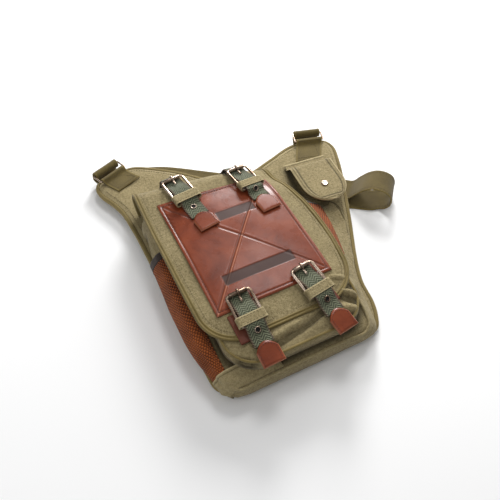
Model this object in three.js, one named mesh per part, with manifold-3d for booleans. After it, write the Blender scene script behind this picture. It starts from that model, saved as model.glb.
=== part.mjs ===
// Canvas shoulder bag lying on its back: padded back with two ears, gusseted body, front pocket,
// flap with a leather panel and four buckle straps, mesh side pockets, snap pocket and webbing strap.
// Millimetres. +Z is up from the floor, +Y runs from the bottom of the bag to its ears.
import * as THREE from 'three';
import { mergeVertices } from 'three/addons/utils/BufferGeometryUtils.js';
import Module from 'manifold-3d';

const wasm = await Module();
wasm.setup();

// Driving dimensions
const CLEARANCE = 0.3;          // between hard or flat pieces that touch
const LAYER_GAP = 0.6;          // between curved layers of cloth and leather
const BACK_LENGTH = 392;        // bottom hem to the level of the right ear's tip
const BACK_HALF_WIDTH = 115;    // half the width of the back at the bottom hem
const BACK_THICKNESS = 11;      // padded back
const BINDING_WIDTH = 6;        // bound edge of the back
const BINDING_THICKNESS = 8;
const BACK_LIFT = 8;            // how far the strap under the ears raises the upper back
const BODY_WALL = 2;
const GUSSET_BULGE = 3;         // left gusset
const GUSSET_SAG = 6;           // hollow of the right gusset beside the snap pocket
const BASE_ROUND = 4;           // body's rounded edges at the back and at the front
const FRONT_ROUND = 7;
const FRONT_LENGTH = 262;       // front of the bag, from the pocket's lower edge to the top roll
const FRONT_HEIGHT = 71;        // crest of the front above the floor
const FRONT_HALF_WIDTH = 101;
const SIDE_DROP = 5.5;          // the front falls away to both sides
const CORNER_SAG = 10;          // the stuffed body sinks at its upper right corner
const TOP_SLANT = 0.15;         // the top roll runs downhill to the right
const POCKET_DEPTH = 16;
const POCKET_LENGTH = 200;
const POCKET_WIDTH = 176;
const POCKET_SHIFT = 4;         // the pocket sits a little to the right
const POCKET_WALL = 1.6;
const POCKET_CORNER = 40;
const FLAP_WALL = 1.6;
const FLAP_LOW_EDGE = 30;       // flap's lower edge above the pocket's lower edge
const FLAP_CORNER = 48;
const FLAP_BINDING = 7;
const FLAP_BINDING_THICKNESS = 2.4;
const ROLL_TURN = 150;          // degrees that the flap turns over the top
const PANEL_WIDTH = 151;
const PANEL_LENGTH = 180;
const PANEL_WALL = 1.8;
const PANEL_LOW_EDGE = 67;
const BUCKLE_WEB_WIDTH = 25;
const BUCKLE_WEB_THICKNESS = 2;
const TIP_FROM_FRAME = 22;      // lower end of the buckle frame to the leather tip
const OVER_TOP_LENGTH = 34;     // webbing above the upper rollers, over the top roll
const TIP_LENGTH = 28;
const TIP_WIDTH = 27.5;
const TIP_THICKNESS = 4;
const FRAME_WIDTH = 33;
const FRAME_LENGTH = 43;
const FRAME_WIRE = 3;
const FRAME_CORNER = 5;
const ROLLER_DIAMETER = 5.5;
const ROLLER_WALL = 0.55;
const PRONG_DIAMETER = 2.2;
const PRONG_LENGTH = 12;
const KEEPER_LENGTH = 12;
const KEEPER_WALL = 1.2;
const BUCKLE_GAP = 0.6;         // between the layers of a buckle
const EYELET_BELOW_FRAME = 6;
const EYELET_DIAMETER = 8;
const EYELET_HOLE = 4;
const EYELET_THICKNESS = 0.8;
const TAB_WIDTH = 26;           // leather tab under each lower strap
const TAB_THICKNESS = 1.6;
const TAB_LENGTH = 36;
const TAB_BELOW_FRAME = 15;     // lower end of the buckle frame to the end of the tab
const MESH_WALL = 2;
const MESH_BULGE = 11;
const MESH_LENGTH = 180;
const MESH_LOW_EDGE = 14;
const ELASTIC_HEIGHT = 11;
const ELASTIC_WALL = 2.4;
const WEB_WIDTH = 40;           // shoulder strap
const WEB_THICKNESS = 1.8;
const WEB_FOLD_ANGLE = 32.5;    // between the hidden fold's crease and the strap's edges
const LOOP_HEIGHT = 38;
const LOOP_REACH = 70;
const RING_INNER_WIDTH = 41.5;
const RING_INNER_HEIGHT = 14.5;
const RING_WIRE = 2.4;
const EAR_TAB_THICKNESS = 2;
const SNAP_POCKET_WIDTH = 50;
const SNAP_POCKET_LENGTH = 50;
const SNAP_POCKET_CORNER = 14;
const SNAP_POCKET_DEPTH = 13;
const SNAP_POCKET_WALL = 1.6;
const SNAP_MOUTH_DROP = 14;     // flap's sewn end to the pocket's mouth
const SNAP_FLAP_WIDTH = 65;
const SNAP_FLAP_LENGTH = 91;    // from the ear, over the pocket and down past its lower edge
const SNAP_FLAP_WALL = 2;
const SNAP_CAP_DIAMETER = 10;
const SNAP_CAP_HEIGHT = 3;

// Outline of the back: at is a share of its length, out a share of its half width
const BACK_OUTLINE = [
  { at: -0.010, out: -0.60 }, { at: 0.002, out: -0.78 }, { at: 0.040, out: -0.90 },
  { at: 0.110, out: -0.925 }, { at: 0.300, out: -0.935 }, { at: 0.560, out: -0.945 },
  { at: 0.690, out: -0.955 }, { at: 0.790, out: -0.985 }, { at: 0.850, out: -1.050 },
  { at: 0.892, out: -1.114 }, { at: 0.940, out: -1.140 }, { at: 0.972, out: -1.085 },
  { at: 0.985, out: -0.850 }, { at: 0.998, out: -0.640 }, { at: 0.985, out: -0.500 },
  { at: 0.902, out: -0.105 }, { at: 0.802, out: 0.275 }, { at: 0.772, out: 0.675 },
  { at: 0.802, out: 1.055 }, { at: 0.837, out: 1.490 }, { at: 0.805, out: 1.910 },
  { at: 0.759, out: 1.975 }, { at: 0.681, out: 1.905 }, { at: 0.532, out: 1.690 },
  { at: 0.414, out: 1.515 }, { at: 0.180, out: 1.155 }, { at: 0.090, out: 1.105 },
  { at: 0.040, out: 1.045 }, { at: 0.000, out: 0.950 }, { at: -0.012, out: 0.700 },
  { at: -0.016, out: 0.050 },
];

// Height of the front along its middle: at is a share of its length, rise a share of its height
const CREST = [
  { at: -0.08, rise: 0.73 }, { at: 0.00, rise: 0.77 }, { at: 0.10, rise: 0.85 },
  { at: 0.26, rise: 0.94 }, { at: 0.46, rise: 0.99 }, { at: 0.65, rise: 1.00 },
  { at: 0.84, rise: 0.98 }, { at: 0.94, rise: 0.955 }, { at: 1.00, rise: 0.95 },
];

// Flap edges: at is a share of the front's length, left and right are shares of its half width
const FLAP_SIDES = [
  { at: 0.00, left: -0.97, right: 0.92 }, { at: 0.25, left: -0.97, right: 1.000 },
  { at: 0.45, left: -0.98, right: 1.05 }, { at: 0.65, left: -0.98, right: 1.04 },
  { at: 0.82, left: -0.98, right: 0.97 }, { at: 1.00, left: -0.96, right: 0.92 },
  { at: 1.30, left: -0.93, right: 0.89 },
];

// Body sections: at is a share of the front's length, left and right are the back seams as shares
// of the back's half width, front is the front face as a share of the front's half width, rise
// shares out the height between the back and the front pocket, and sag shares out the depth of the
// hollow in the right gusset
const BODY_SECTIONS = [
  { at: -0.034, left: -0.64, right: 0.74, front: 0.70, rise: 0.50, sag: -0.2 },
  { at: -0.026, left: -0.76, right: 0.86, front: 0.84, rise: 0.80, sag: -0.2 },
  { at: 0.000, left: -0.82, right: 0.93, front: 0.92, rise: 0.96, sag: -0.2 },
  { at: 0.050, left: -0.86, right: 0.97, front: 0.95, rise: 1.00, sag: -0.1 },
  { at: 0.150, left: -0.87, right: 1.02, front: 0.96, rise: 1.00, sag: 0.0 },
  { at: 0.280, left: -0.88, right: 1.10, front: 0.96, rise: 1.00, sag: 0.2 },
  { at: 0.410, left: -0.88, right: 1.24, front: 0.96, rise: 1.00, sag: 0.4 },
  { at: 0.540, left: -0.88, right: 1.37, front: 0.96, rise: 1.00, sag: 0.7 },
  { at: 0.650, left: -0.89, right: 1.45, front: 0.96, rise: 1.00, sag: 1.0 },
  { at: 0.740, left: -0.89, right: 1.44, front: 0.95, rise: 1.00, sag: 1.0 },
  { at: 0.820, left: -0.89, right: 1.17, front: 0.93, rise: 1.00, sag: 0.9 },
  { at: 0.900, left: -0.89, right: 1.05, front: 0.90, rise: 0.99, sag: 0.3 },
  { at: 0.980, left: -0.88, right: 0.97, front: 0.88, rise: 0.97, sag: 0.0 },
];

// Four buckle straps: across and along place the roller as shares of half the leather panel's width
// and of its length, turn is in degrees, over is the webbing beyond the roller as a share of
// OVER_TOP_LENGTH, raise lifts the buckle off an uneven front by a share of the roller's diameter,
// tab shifts the leather tab under a lower strap by a share of the tab's width
const BUCKLE_STRAPS = [
  { name: 'upper_left', across: -0.556, along: 1.144, turn: 7.9, over: 1, raise: 0.25 },
  { name: 'upper_right', across: 0.570, along: 1.111, turn: 7.0, over: 1, raise: 0.25 },
  { name: 'lower_left', across: -0.570, along: 0.083, turn: 1.0, over: 0, raise: 0.05, tab: -0.38 },
  { name: 'lower_right', across: 0.530, along: 0.083, turn: 8.8, over: 0, raise: 0.05, tab: 0.15 },
];

// Places on the back and on the floor under it: at is a share of the back's length, out a share of
// its half width, turn is in degrees. Ears: the ring's middle and the turn of its bars, the reach of
// the tab that holds it as a share of the webbing's width, and how far the tab leans to the side for
// each millimetre of its reach.
const LEFT_RING = { at: 0.990, out: -0.896, turn: 22, tab: 0.75, lean: 0.16 };
const RIGHT_RING = { at: 0.832, out: 1.713, turn: -16, tab: 1.05, lean: -0.26 };

// Snap pocket: the middle of its flap's sewn end
const SNAP_POCKET = { at: 0.704, out: 1.429, turn: -5 };

// Height of the snap pocket's flap: at is a share of its length from its sewn end, rise a share of
// the pocket's depth
const SNAP_FLAP_HEIGHT = [
  { at: 0.00, rise: 0.00 }, { at: 0.06, rise: 0.45 }, { at: 0.14, rise: 1.10 },
  { at: 0.30, rise: 1.24 }, { at: 0.60, rise: 1.34 }, { at: 1.00, rise: 1.44 },
];

// Shoulder strap on the floor: the crease of its hidden fold under the right ear, the place where
// it comes out, and the ends of its straight run behind the bag
const STRAP_CREASE = { at: 0.668, out: 1.435 };
const STRAP_EXIT = { at: 0.564, out: 1.730 };
const STRAP_RUN = [{ at: 0.477, out: 1.965 }, { at: 0.936, out: -0.261 }];

// Its loop beside the bag: reach is the distance from the exit as a share of the loop's reach, rise
// a share of its height, turn the direction of the strap's width in degrees
const STRAP_LOOP = [
  { reach: 0.00, rise: 0.09, turn: -139 }, { reach: 0.14, rise: 0.14, turn: -137 },
  { reach: 0.28, rise: 0.46, turn: -135 }, { reach: 0.42, rise: 0.77, turn: -135 },
  { reach: 0.56, rise: 0.95, turn: -135 }, { reach: 0.69, rise: 1.00, turn: -135 },
  { reach: 0.81, rise: 0.97, turn: -134 }, { reach: 0.91, rise: 0.88, turn: -133 },
  { reach: 0.975, rise: 0.72, turn: -132 }, { reach: 1.00, rise: 0.51, turn: -131 },
  { reach: 0.98, rise: 0.30, turn: -130 }, { reach: 0.90, rise: 0.12, turn: -128 },
  { reach: 0.78, rise: 0.02, turn: -126 },
];
const LOOP_DIRECTION = -44.7;

// Where it turns up to the left ring under the left ear
const STRAP_LEFT_TURN = [
  { at: 0.974, out: -0.539, turn: 226 }, { at: 1.003, out: -0.748, turn: 216 },
  { at: 1.018, out: -0.887, turn: 207 },
];

// Its roll over a ring's outer bar: up is measured from the bar, high from the bar's middle, both
// as shares of the roll's radius
const RING_ROLL = [
  { up: 1.60, high: -3.30 }, { up: 1.75, high: -2.00 }, { up: 1.50, high: -0.60 },
  { up: 1.00, high: 0.55 }, { up: 0.10, high: 1.05 }, { up: -0.80, high: 0.55 },
  { up: -1.10, high: -0.30 }, { up: -0.95, high: -1.20 },
];
const RING_ROLL_RADIUS = 4;
const SNAP_CAP_AT = 0.66;      // the cap's place as a share of the snap pocket's flap

const CANVAS = new THREE.MeshStandardMaterial({ color: 0x8f8768, roughness: 0.95 });
const BINDING = new THREE.MeshStandardMaterial({ color: 0x867d55, roughness: 0.95 });
const LEATHER = new THREE.MeshStandardMaterial({ color: 0x8a4a38, roughness: 0.45 });
const WEBBING = new THREE.MeshStandardMaterial({ color: 0x59644e, roughness: 0.9 });
const STRAP_WEBBING = new THREE.MeshStandardMaterial({ color: 0x8b8258, roughness: 0.9 });
const MESH_CLOTH = new THREE.MeshStandardMaterial({ color: 0x84452a, roughness: 0.9 });
const ELASTIC = new THREE.MeshStandardMaterial({ color: 0x3f3130, roughness: 0.9 });
const METAL = new THREE.MeshStandardMaterial({ color: 0xc4b6aa, roughness: 0.3, metalness: 1 });

const BACK_TOP = BACK_THICKNESS + CLEARANCE;
const FLAP_TOP = LAYER_GAP + FLAP_WALL;
const PANEL_TOP = FLAP_TOP + LAYER_GAP + PANEL_WALL;
const bag = new THREE.Group();

// Helpers

const vec = (x, y, z) => new THREE.Vector3(x, y, z);
const { lerp, smoothstep, degToRad, clamp } = THREE.MathUtils;

// A column of a table at a place along it, on a smooth curve through its rows
function follow(table, at, column) {
  const last = table.length - 1;
  const found = table.findIndex((row) => row.at > at);
  const i = clamp(found < 0 ? last - 1 : found - 1, 0, last - 1);
  const slope = (k) => {
    const a = table[Math.max(k - 1, 0)];
    const b = table[Math.min(k + 1, last)];
    return (b[column] - a[column]) / (b.at - a.at);
  };
  const span = table[i + 1].at - table[i].at;
  const t = clamp((at - table[i].at) / span, 0, 1);
  const rest = 1 - t;
  return rest * rest * (1 + 2 * t) * table[i][column] + t * t * (3 - 2 * t) * table[i + 1][column]
    + t * rest * rest * span * slope(i) - t * t * rest * span * slope(i + 1);
}

const steps = (count, from = 0, to = 1) =>
  Array.from({ length: count + 1 }, (_, i) => lerp(from, to, i / count));

function signedVolume(points, faces) {
  return faces.reduce((sum, [a, b, c]) =>
    sum + points[a].dot(points[b].clone().cross(points[c])) / 6, 0);
}

function closedGeometry(points, faces) {
  const outward = signedVolume(points, faces) > 0;
  const geometry = new THREE.BufferGeometry();
  const position = new Float32Array(points.flatMap((p) => [p.x, p.y, p.z]));
  geometry.setAttribute('position', new THREE.BufferAttribute(position, 3));
  geometry.setIndex(faces.flatMap(([a, b, c]) => (outward ? [a, b, c] : [a, c, b])));
  return geometry;
}

// A closed solid through rings with equal counts of points. Its ends are fans, or strips that pair
// the first half of the ring with the second half where the ring is a thin sheet. A solid whose
// last ring is its first one has no ends.
function loft(rings, ends) {
  const count = rings[0].length;
  const points = rings.flat();
  const faces = [];
  for (let k = 0; k + 1 < rings.length; k += 1) {
    for (let i = 0; i < count; i += 1) {
      const a = k * count + i;
      const b = k * count + ((i + 1) % count);
      faces.push([a, b, b + count], [a, b + count, a + count]);
    }
  }
  const caps = ends === 'none' ? [] : [[0, true], [rings.length - 1, false]];
  caps.forEach(([k, first]) => {
    const base = k * count;
    const add = (a, b, c) => faces.push(first ? [a, c, b] : [a, b, c]);
    if (ends === 'fan') {
      const middle = rings[k].reduce((sum, p) => sum.add(p), vec(0, 0, 0)).divideScalar(count);
      points.push(middle);
      for (let i = 0; i < count; i += 1) add(points.length - 1, base + i, base + ((i + 1) % count));
    } else {
      for (let i = 0; i < count / 2 - 1; i += 1) {
        const j = count - 1 - i;
        add(base + i, base + i + 1, base + j - 1);
        add(base + i, base + j - 1, base + j);
      }
    }
  });
  return closedGeometry(points, faces);
}

// A sheet from rows of points: place(across share, along share, level 0 or 1) gives each point
function sheet(acrossSteps, alongSteps, place) {
  const rings = alongSteps.map((along) => [
    ...acrossSteps.map((across) => place(across, along, 1)),
    ...acrossSteps.map((across) => place(across, along, 0)).reverse(),
  ]);
  return loft(rings, 'strip');
}

function toSolid(geometry) {
  const bare = geometry.clone();
  bare.deleteAttribute('normal');
  bare.deleteAttribute('uv');
  const merged = mergeVertices(bare, 1e-4);
  return new wasm.Manifold(new wasm.Mesh({
    numProp: 3,
    vertProperties: new Float32Array(merged.attributes.position.array),
    triVerts: new Uint32Array(merged.index.array),
  }));
}

function fromSolid(solid) {
  const mesh = solid.getMesh();
  const geometry = new THREE.BufferGeometry();
  geometry.setAttribute('position', new THREE.BufferAttribute(mesh.vertProperties, 3));
  geometry.setIndex(new THREE.BufferAttribute(mesh.triVerts, 1));
  return geometry;
}

function add(name, geometry, material, matrix) {
  if (matrix) geometry.applyMatrix4(matrix);
  geometry.computeVertexNormals();
  const mesh = new THREE.Mesh(geometry, material);
  mesh.name = name;
  bag.add(mesh);
}

// A round-cornered rectangle as a shape
function roundedRectangle(width, height, corner) {
  const shape = new THREE.Shape();
  const x = width / 2;
  const y = height / 2;
  shape.moveTo(-x + corner, -y);
  shape.lineTo(x - corner, -y);
  shape.absarc(x - corner, -y + corner, corner, -Math.PI / 2, 0);
  shape.lineTo(x, y - corner);
  shape.absarc(x - corner, y - corner, corner, 0, Math.PI / 2);
  shape.lineTo(-x + corner, y);
  shape.absarc(-x + corner, y - corner, corner, Math.PI / 2, Math.PI);
  shape.lineTo(-x, -y + corner);
  shape.absarc(-x + corner, -y + corner, corner, Math.PI, 1.5 * Math.PI);
  return shape;
}

function extrude(shape, depth, curveSegments = 5) {
  return new THREE.ExtrudeGeometry(shape, { depth, bevelEnabled: false, curveSegments });
}

// A turned piece from the radius and height of each point of its profile
function lathe(profile) {
  return new THREE.LatheGeometry(profile.map(([r, y]) => new THREE.Vector2(r, y)), 14);
}

// Back

// How far the back is raised at a place along it
const lift = (y) => BACK_LIFT * smoothstep(y, 0.28 * BACK_LENGTH, 0.58 * BACK_LENGTH);

// A place {at, out} on the back
const backPlace = ({ at, out }, z = 0) => vec(out * BACK_HALF_WIDTH, at * BACK_LENGTH, z);

function backOutline(inset) {
  const corners = BACK_OUTLINE.map((row) => backPlace(row));
  const curve = new THREE.CatmullRomCurve3(corners, true, 'centripetal');
  const points = steps(BACK_OUTLINE.length * 2).slice(0, -1).map((t) => {
    const tangent = curve.getTangent(t);
    return curve.getPoint(t).add(vec(tangent.y, -tangent.x, 0).multiplyScalar(inset));
  });
  return new THREE.Shape(points.map((p) => new THREE.Vector2(p.x, p.y)));
}

// A slab that follows the lift, cut to a shape
function cutFromSlab(shape, low, high) {
  const reach = 3 * BACK_HALF_WIDTH;
  const slab = sheet([-reach, reach], steps(22, -0.2 * BACK_LENGTH, 1.2 * BACK_LENGTH),
    (x, y, level) => vec(x, y, (level ? high : low) + lift(y)));
  const prism = extrude(shape, 4 * BACK_THICKNESS + BACK_LIFT);
  prism.translate(0, 0, -BACK_THICKNESS);
  return toSolid(prism).intersect(toSolid(slab));
}

function addBack() {
  const panel = cutFromSlab(backOutline(BINDING_WIDTH + CLEARANCE), 0, BACK_THICKNESS);
  add('back_panel', fromSolid(panel), CANVAS);
  const low = (BACK_THICKNESS - BINDING_THICKNESS) / 2;
  const outer = cutFromSlab(backOutline(0), low, low + BINDING_THICKNESS);
  const hole = toSolid(extrude(backOutline(BINDING_WIDTH), 4 * BACK_THICKNESS + 2 * BACK_LIFT)
    .translate(0, 0, -2 * BACK_THICKNESS));
  add('back_binding', fromSolid(outer.subtract(hole)), BINDING);
}

// Front surface: across, along and a distance out from the front pocket's outer face

const crest = (along) => FRONT_HEIGHT * follow(CREST, along / FRONT_LENGTH, 'rise');
const CREST_END = crest(FRONT_LENGTH);
const FLAP_END_COSINE = Math.cos(degToRad(180 - ROLL_TURN));
const ROLL_RADIUS = (CREST_END - BACK_TOP - BACK_LIFT - 2 * LAYER_GAP
  - FLAP_END_COSINE * FLAP_TOP) / (1 + FLAP_END_COSINE);

function sideDrop(across, along) {
  const out = Math.min(Math.abs(across) / FRONT_HALF_WIDTH, 1.1);
  const sag = smoothstep(across, 0.3 * FRONT_HALF_WIDTH, FRONT_HALF_WIDTH)
    * smoothstep(along, 0.75 * FRONT_LENGTH, FRONT_LENGTH);
  return SIDE_DROP * out ** 2.6 + CORNER_SAG * sag;
}

function front(across, along, out) {
  const slant = TOP_SLANT * across * smoothstep(along, 0.82 * FRONT_LENGTH, 1.04 * FRONT_LENGTH);
  const turn = Math.max(along - FRONT_LENGTH, 0) / ROLL_RADIUS;
  const fade = Math.max(Math.cos(turn), 0);
  const height = out - sideDrop(across, along) * fade;
  if (turn > 0) {
    const radius = ROLL_RADIUS + height;
    return vec(across, FRONT_LENGTH + radius * Math.sin(turn) - slant,
      CREST_END - ROLL_RADIUS + radius * Math.cos(turn));
  }
  const step = 0.5;
  const slope = (crest(along + step) - crest(along - step)) / (2 * step);
  const normal = vec(0, -slope, 1).normalize();
  return vec(across, along - slant + normal.y * height, crest(along) + normal.z * height);
}

// Body

// A ring in an XZ section with rounded corners: corners are {x, z, round}, in order round the ring
function sectionRing(y, corners, frontHeight) {
  const cornerSteps = 3;
  const ring = [];
  corners.forEach((corner, i) => {
    const before = corners[(i + corners.length - 1) % corners.length];
    const after = corners[(i + 1) % corners.length];
    const here = new THREE.Vector2(corner.x, corner.z);
    const toward = (other) => new THREE.Vector2(other.x, other.z).sub(here).normalize();
    const start = here.clone().addScaledVector(toward(before), corner.round);
    const end = here.clone().addScaledVector(toward(after), corner.round);
    steps(cornerSteps).forEach((t) => {
      ring.push(new THREE.Vector2(
        (1 - t) ** 2 * start.x + 2 * t * (1 - t) * here.x + t * t * end.x,
        (1 - t) ** 2 * start.y + 2 * t * (1 - t) * here.y + t * t * end.y,
      ));
    });
    const next = new THREE.Vector2(after.x, after.z);
    const stop = next.clone().addScaledVector(here.clone().sub(next).normalize(), after.round);
    steps(corner.splits).slice(1, -1).forEach((t) => {
      const p = end.clone().lerp(stop, t);
      if (corner.front) p.y = lerp(p.y, frontHeight(p.x, y), Math.sin(Math.PI * t) ** 0.3);
      p.addScaledVector(new THREE.Vector2(stop.y - end.y, end.x - stop.x).normalize(),
        -(corner.bulge || 0) * Math.sin(Math.PI * t));
      ring.push(p);
    });
  });
  return ring.map((p) => vec(p.x, y, p.y));
}

// The ring moved along its own normals in the section, inward where the distance is positive
function insetRing(ring, distance, shift = 0) {
  return ring.map((p, i) => {
    const before = ring[(i + ring.length - 1) % ring.length];
    const after = ring[(i + 1) % ring.length];
    const tangent = after.clone().sub(before).setY(0).normalize();
    return p.clone().add(vec(tangent.z, shift / distance || 0, -tangent.x).multiplyScalar(distance));
  });
}

// Front face of the body, under the front pocket, which it rises past above the pocket's mouth
function bodyFront(x, y) {
  const under = 1 - smoothstep(y, POCKET_LENGTH, POCKET_LENGTH + 2 * POCKET_DEPTH);
  return front(x, y, 0).z - POCKET_DEPTH * under - LAYER_GAP;
}

function bodySection(row) {
  const y = row.at * FRONT_LENGTH;
  const base = BACK_TOP + lift(y) + LAYER_GAP;
  const left = row.left * BACK_HALF_WIDTH;
  const right = row.right * BACK_HALF_WIDTH;
  const edge = row.front * FRONT_HALF_WIDTH;
  const top = (x) => lerp(base, bodyFront(x, y), row.rise);
  return sectionRing(y, [
    { x: right, z: base, round: BASE_ROUND, splits: 4 },
    { x: left, z: base, round: BASE_ROUND, splits: 4, bulge: GUSSET_BULGE },
    { x: -edge, z: top(-edge), round: FRONT_ROUND, splits: 9, front: true },
    { x: edge, z: top(edge), round: FRONT_ROUND, splits: 5, bulge: -GUSSET_SAG * row.sag },
  ], top);
}

const BODY_LEVELS = [...BODY_SECTIONS.map((row) => row.at), (POCKET_LENGTH + 1) / FRONT_LENGTH]
  .sort((a, b) => a - b);
const bodyRing = (at) => bodySection({
  at,
  left: follow(BODY_SECTIONS, at, 'left'),
  right: follow(BODY_SECTIONS, at, 'right'),
  front: follow(BODY_SECTIONS, at, 'front'),
  rise: follow(BODY_SECTIONS, at, 'rise'),
  sag: follow(BODY_SECTIONS, at, 'sag'),
});

function addBody() {
  const outer = BODY_LEVELS.map(bodyRing);
  const floor = 2;
  const inner = outer.slice(floor).map((ring) => insetRing(ring, BODY_WALL)).reverse();
  inner.push(insetRing(outer[1], 2 * BODY_WALL, BODY_WALL));
  add('body_shell', loft([...outer, ...inner], 'fan'), CANVAS);
}

// A patch pocket with rounded lower corners, open at its top. low and high give its faces.
function pocketShell({ width, length, corner, wall, depth, low, high }, levels) {
  const section = (y, inset) => {
    const rest = Math.max(corner - y, 0);
    const round = corner - Math.sqrt(Math.max(corner ** 2 - rest ** 2, 0));
    const half = width / 2 - round - inset;
    const across = steps(12, -half, half);
    const squeeze = (x) => 0.45 * smoothstep(Math.abs(x), half - depth / 3, half + 1);
    const place = (x, share) => vec(x, y, lerp(low(x, y) + inset, high(x, y) - inset, share));
    return [
      ...across.map((x) => place(x, 1 - squeeze(x))),
      ...across.map((x) => place(x, 0.1 * squeeze(x))).reverse(),
    ];
  };
  const outer = levels.map((at) => section(at * length, 0));
  const inner = levels.slice(1).map((at) => section(at * length, wall)).reverse();
  return loft([...outer, ...inner], 'strip');
}

function addFrontPocket() {
  add('front_pocket', pocketShell({
    width: POCKET_WIDTH,
    length: POCKET_LENGTH,
    corner: POCKET_CORNER,
    wall: POCKET_WALL,
    depth: POCKET_DEPTH,
    low: (x, y) => bodyFront(x + POCKET_SHIFT, y) + LAYER_GAP,
    high: (x, y) => front(x + POCKET_SHIFT, y, 0).z,
  }, [0.004, 0.03, 0.08, 0.14, 0.22, 0.36, 0.52, 0.68, 0.84, 1]), CANVAS,
  new THREE.Matrix4().makeTranslation(POCKET_SHIFT, 0, 0));
}

// Mesh pockets on both gussets, with an elastic band along each open top. The points of the
// body's rings between from and to lie on the gusset, start and end are shares of the mesh's length.
const MESH_POCKETS = [
  { side: 'left', from: 9, to: 17, bulge: 1, start: 0, end: 0.933 },
  { side: 'right', from: 28, to: 32, bulge: 0.4, start: 0.5, end: 1 },
];

function addMeshPocket({ side, from, to, bulge, start, end }) {
  const foot = MESH_LOW_EDGE + start * MESH_LENGTH;
  const top = MESH_LOW_EDGE + end * MESH_LENGTH;
  const swell = 0.4 * (top - foot);
  const stand = (share, along) => {
    const low = Math.sin(Math.min((along - foot) / swell, 1) * Math.PI / 2);
    const high = 1 - 0.35 * smoothstep(along, top - swell, top);
    return LAYER_GAP + MESH_BULGE * bulge * Math.sin(Math.PI * share) ** 0.7 * low * high;
  };
  const strip = (wall) => (index, along, level) => {
    const ring = bodyRing(along / FRONT_LENGTH);
    const share = (index - from) / (to - from);
    return insetRing(ring, -stand(share, along) - level * wall)[index % ring.length];
  };
  const across = steps(to - from, from, to).map(Math.round);
  const between = BODY_LEVELS.map((at) => at * FRONT_LENGTH)
    .filter((along) => along > foot + MESH_WALL && along < top - MESH_WALL);
  add(`mesh_pocket_${side}`, sheet(across, [foot, ...between, top], strip(MESH_WALL)),
    MESH_CLOTH);
  add(`elastic_${side}`, sheet(across, steps(1, top + CLEARANCE, top + ELASTIC_HEIGHT),
    strip(ELASTIC_WALL)), ELASTIC);
}

// Flap

const FLAP_END = FRONT_LENGTH + ROLL_RADIUS * degToRad(ROLL_TURN);
const flapSide = (along, side) => FRONT_HALF_WIDTH * follow(FLAP_SIDES, along / FRONT_LENGTH, side);

// Half of the flap's edge on one side of it at a height above its lower edge
function flapEdge(along, side, inset) {
  const corner = FLAP_CORNER - inset;
  const depth = clamp(corner - (along - FLAP_LOW_EDGE - inset), 0, corner);
  const sign = side === 'left' ? -1 : 1;
  return flapSide(along, side) - sign * (inset + corner - Math.sqrt(corner ** 2 - depth ** 2));
}

const FLAP_LEVELS = [0, 0.012, 0.04, 0.08, 0.13, 0.2, 0.3, 0.4, 0.5, 0.6, 0.7, 0.78,
  0.82, 0.86, 0.89, 0.92, 0.94, 0.96, 0.98, 1];

function addFlap() {
  const inset = FLAP_BINDING + LAYER_GAP;
  const low = FLAP_LOW_EDGE + inset;
  const along = FLAP_LEVELS.map((t) => lerp(low, FLAP_END, t));
  add('flap', sheet(steps(12), along, (share, v, level) =>
    front(lerp(flapEdge(v, 'left', inset), flapEdge(v, 'right', inset), share), v,
      level ? FLAP_TOP : LAYER_GAP)), CANVAS);
}

// A point on the flap's edge line, from its upper left end round the bottom to its upper right end
function flapBorder(t, inset) {
  const corner = FLAP_CORNER - inset;
  const bottom = FLAP_LOW_EDGE + inset;
  const side = t < 0 ? 'left' : 'right';
  const sign = t < 0 ? -1 : 1;
  const part = Math.abs(t);
  if (part > 2) return [flapSide(lerp(FLAP_LOW_EDGE + FLAP_CORNER, FLAP_END, part - 2), side)
    - sign * inset, lerp(FLAP_LOW_EDGE + FLAP_CORNER, FLAP_END, part - 2)];
  const turn = clamp(part - 1, 0, 1) * Math.PI / 2;
  const along = bottom + corner * (1 - Math.cos(turn));
  const reach = flapSide(along, side) - sign * inset;
  if (part > 1) return [reach - sign * corner * (1 - Math.sin(turn)), along];
  return [lerp(0, reach - sign * corner, part), bottom];
}

function addFlapBinding() {
  const half = [0, 0.33, 0.67, 1, 1.25, 1.5, 1.75, 2,
    ...FLAP_LEVELS.filter((t) => t > 0.15).map((t) => 2 + t)];
  const path = [...half.slice(1).reverse().map((t) => -t), ...half];
  const extra = (FLAP_BINDING_THICKNESS - FLAP_WALL) / 2;
  add('flap_binding', sheet([0, FLAP_BINDING], path, (inset, t, level) =>
    front(...flapBorder(t, inset), level ? FLAP_TOP + extra : LAYER_GAP - extra)), BINDING);
}

function addLeatherPanel() {
  const along = steps(14, PANEL_LOW_EDGE, PANEL_LOW_EDGE + PANEL_LENGTH);
  add('leather_panel', sheet(steps(10, -PANEL_WIDTH / 2, PANEL_WIDTH / 2), along,
    (across, v, level) => front(across, v, PANEL_TOP - (level ? 0 : PANEL_WALL))), LEATHER);
}

// Buckle straps

// Where a strap's own coordinates lie: side across the webbing, down from the roller to the tip
function strapPoint(strap, side, down, out) {
  const turn = degToRad(strap.turn);
  const across = strap.across * PANEL_WIDTH / 2;
  const along = PANEL_LOW_EDGE + strap.along * PANEL_LENGTH;
  return front(across + side * Math.cos(turn) + down * Math.sin(turn),
    along + side * Math.sin(turn) - down * Math.cos(turn), out);
}

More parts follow.
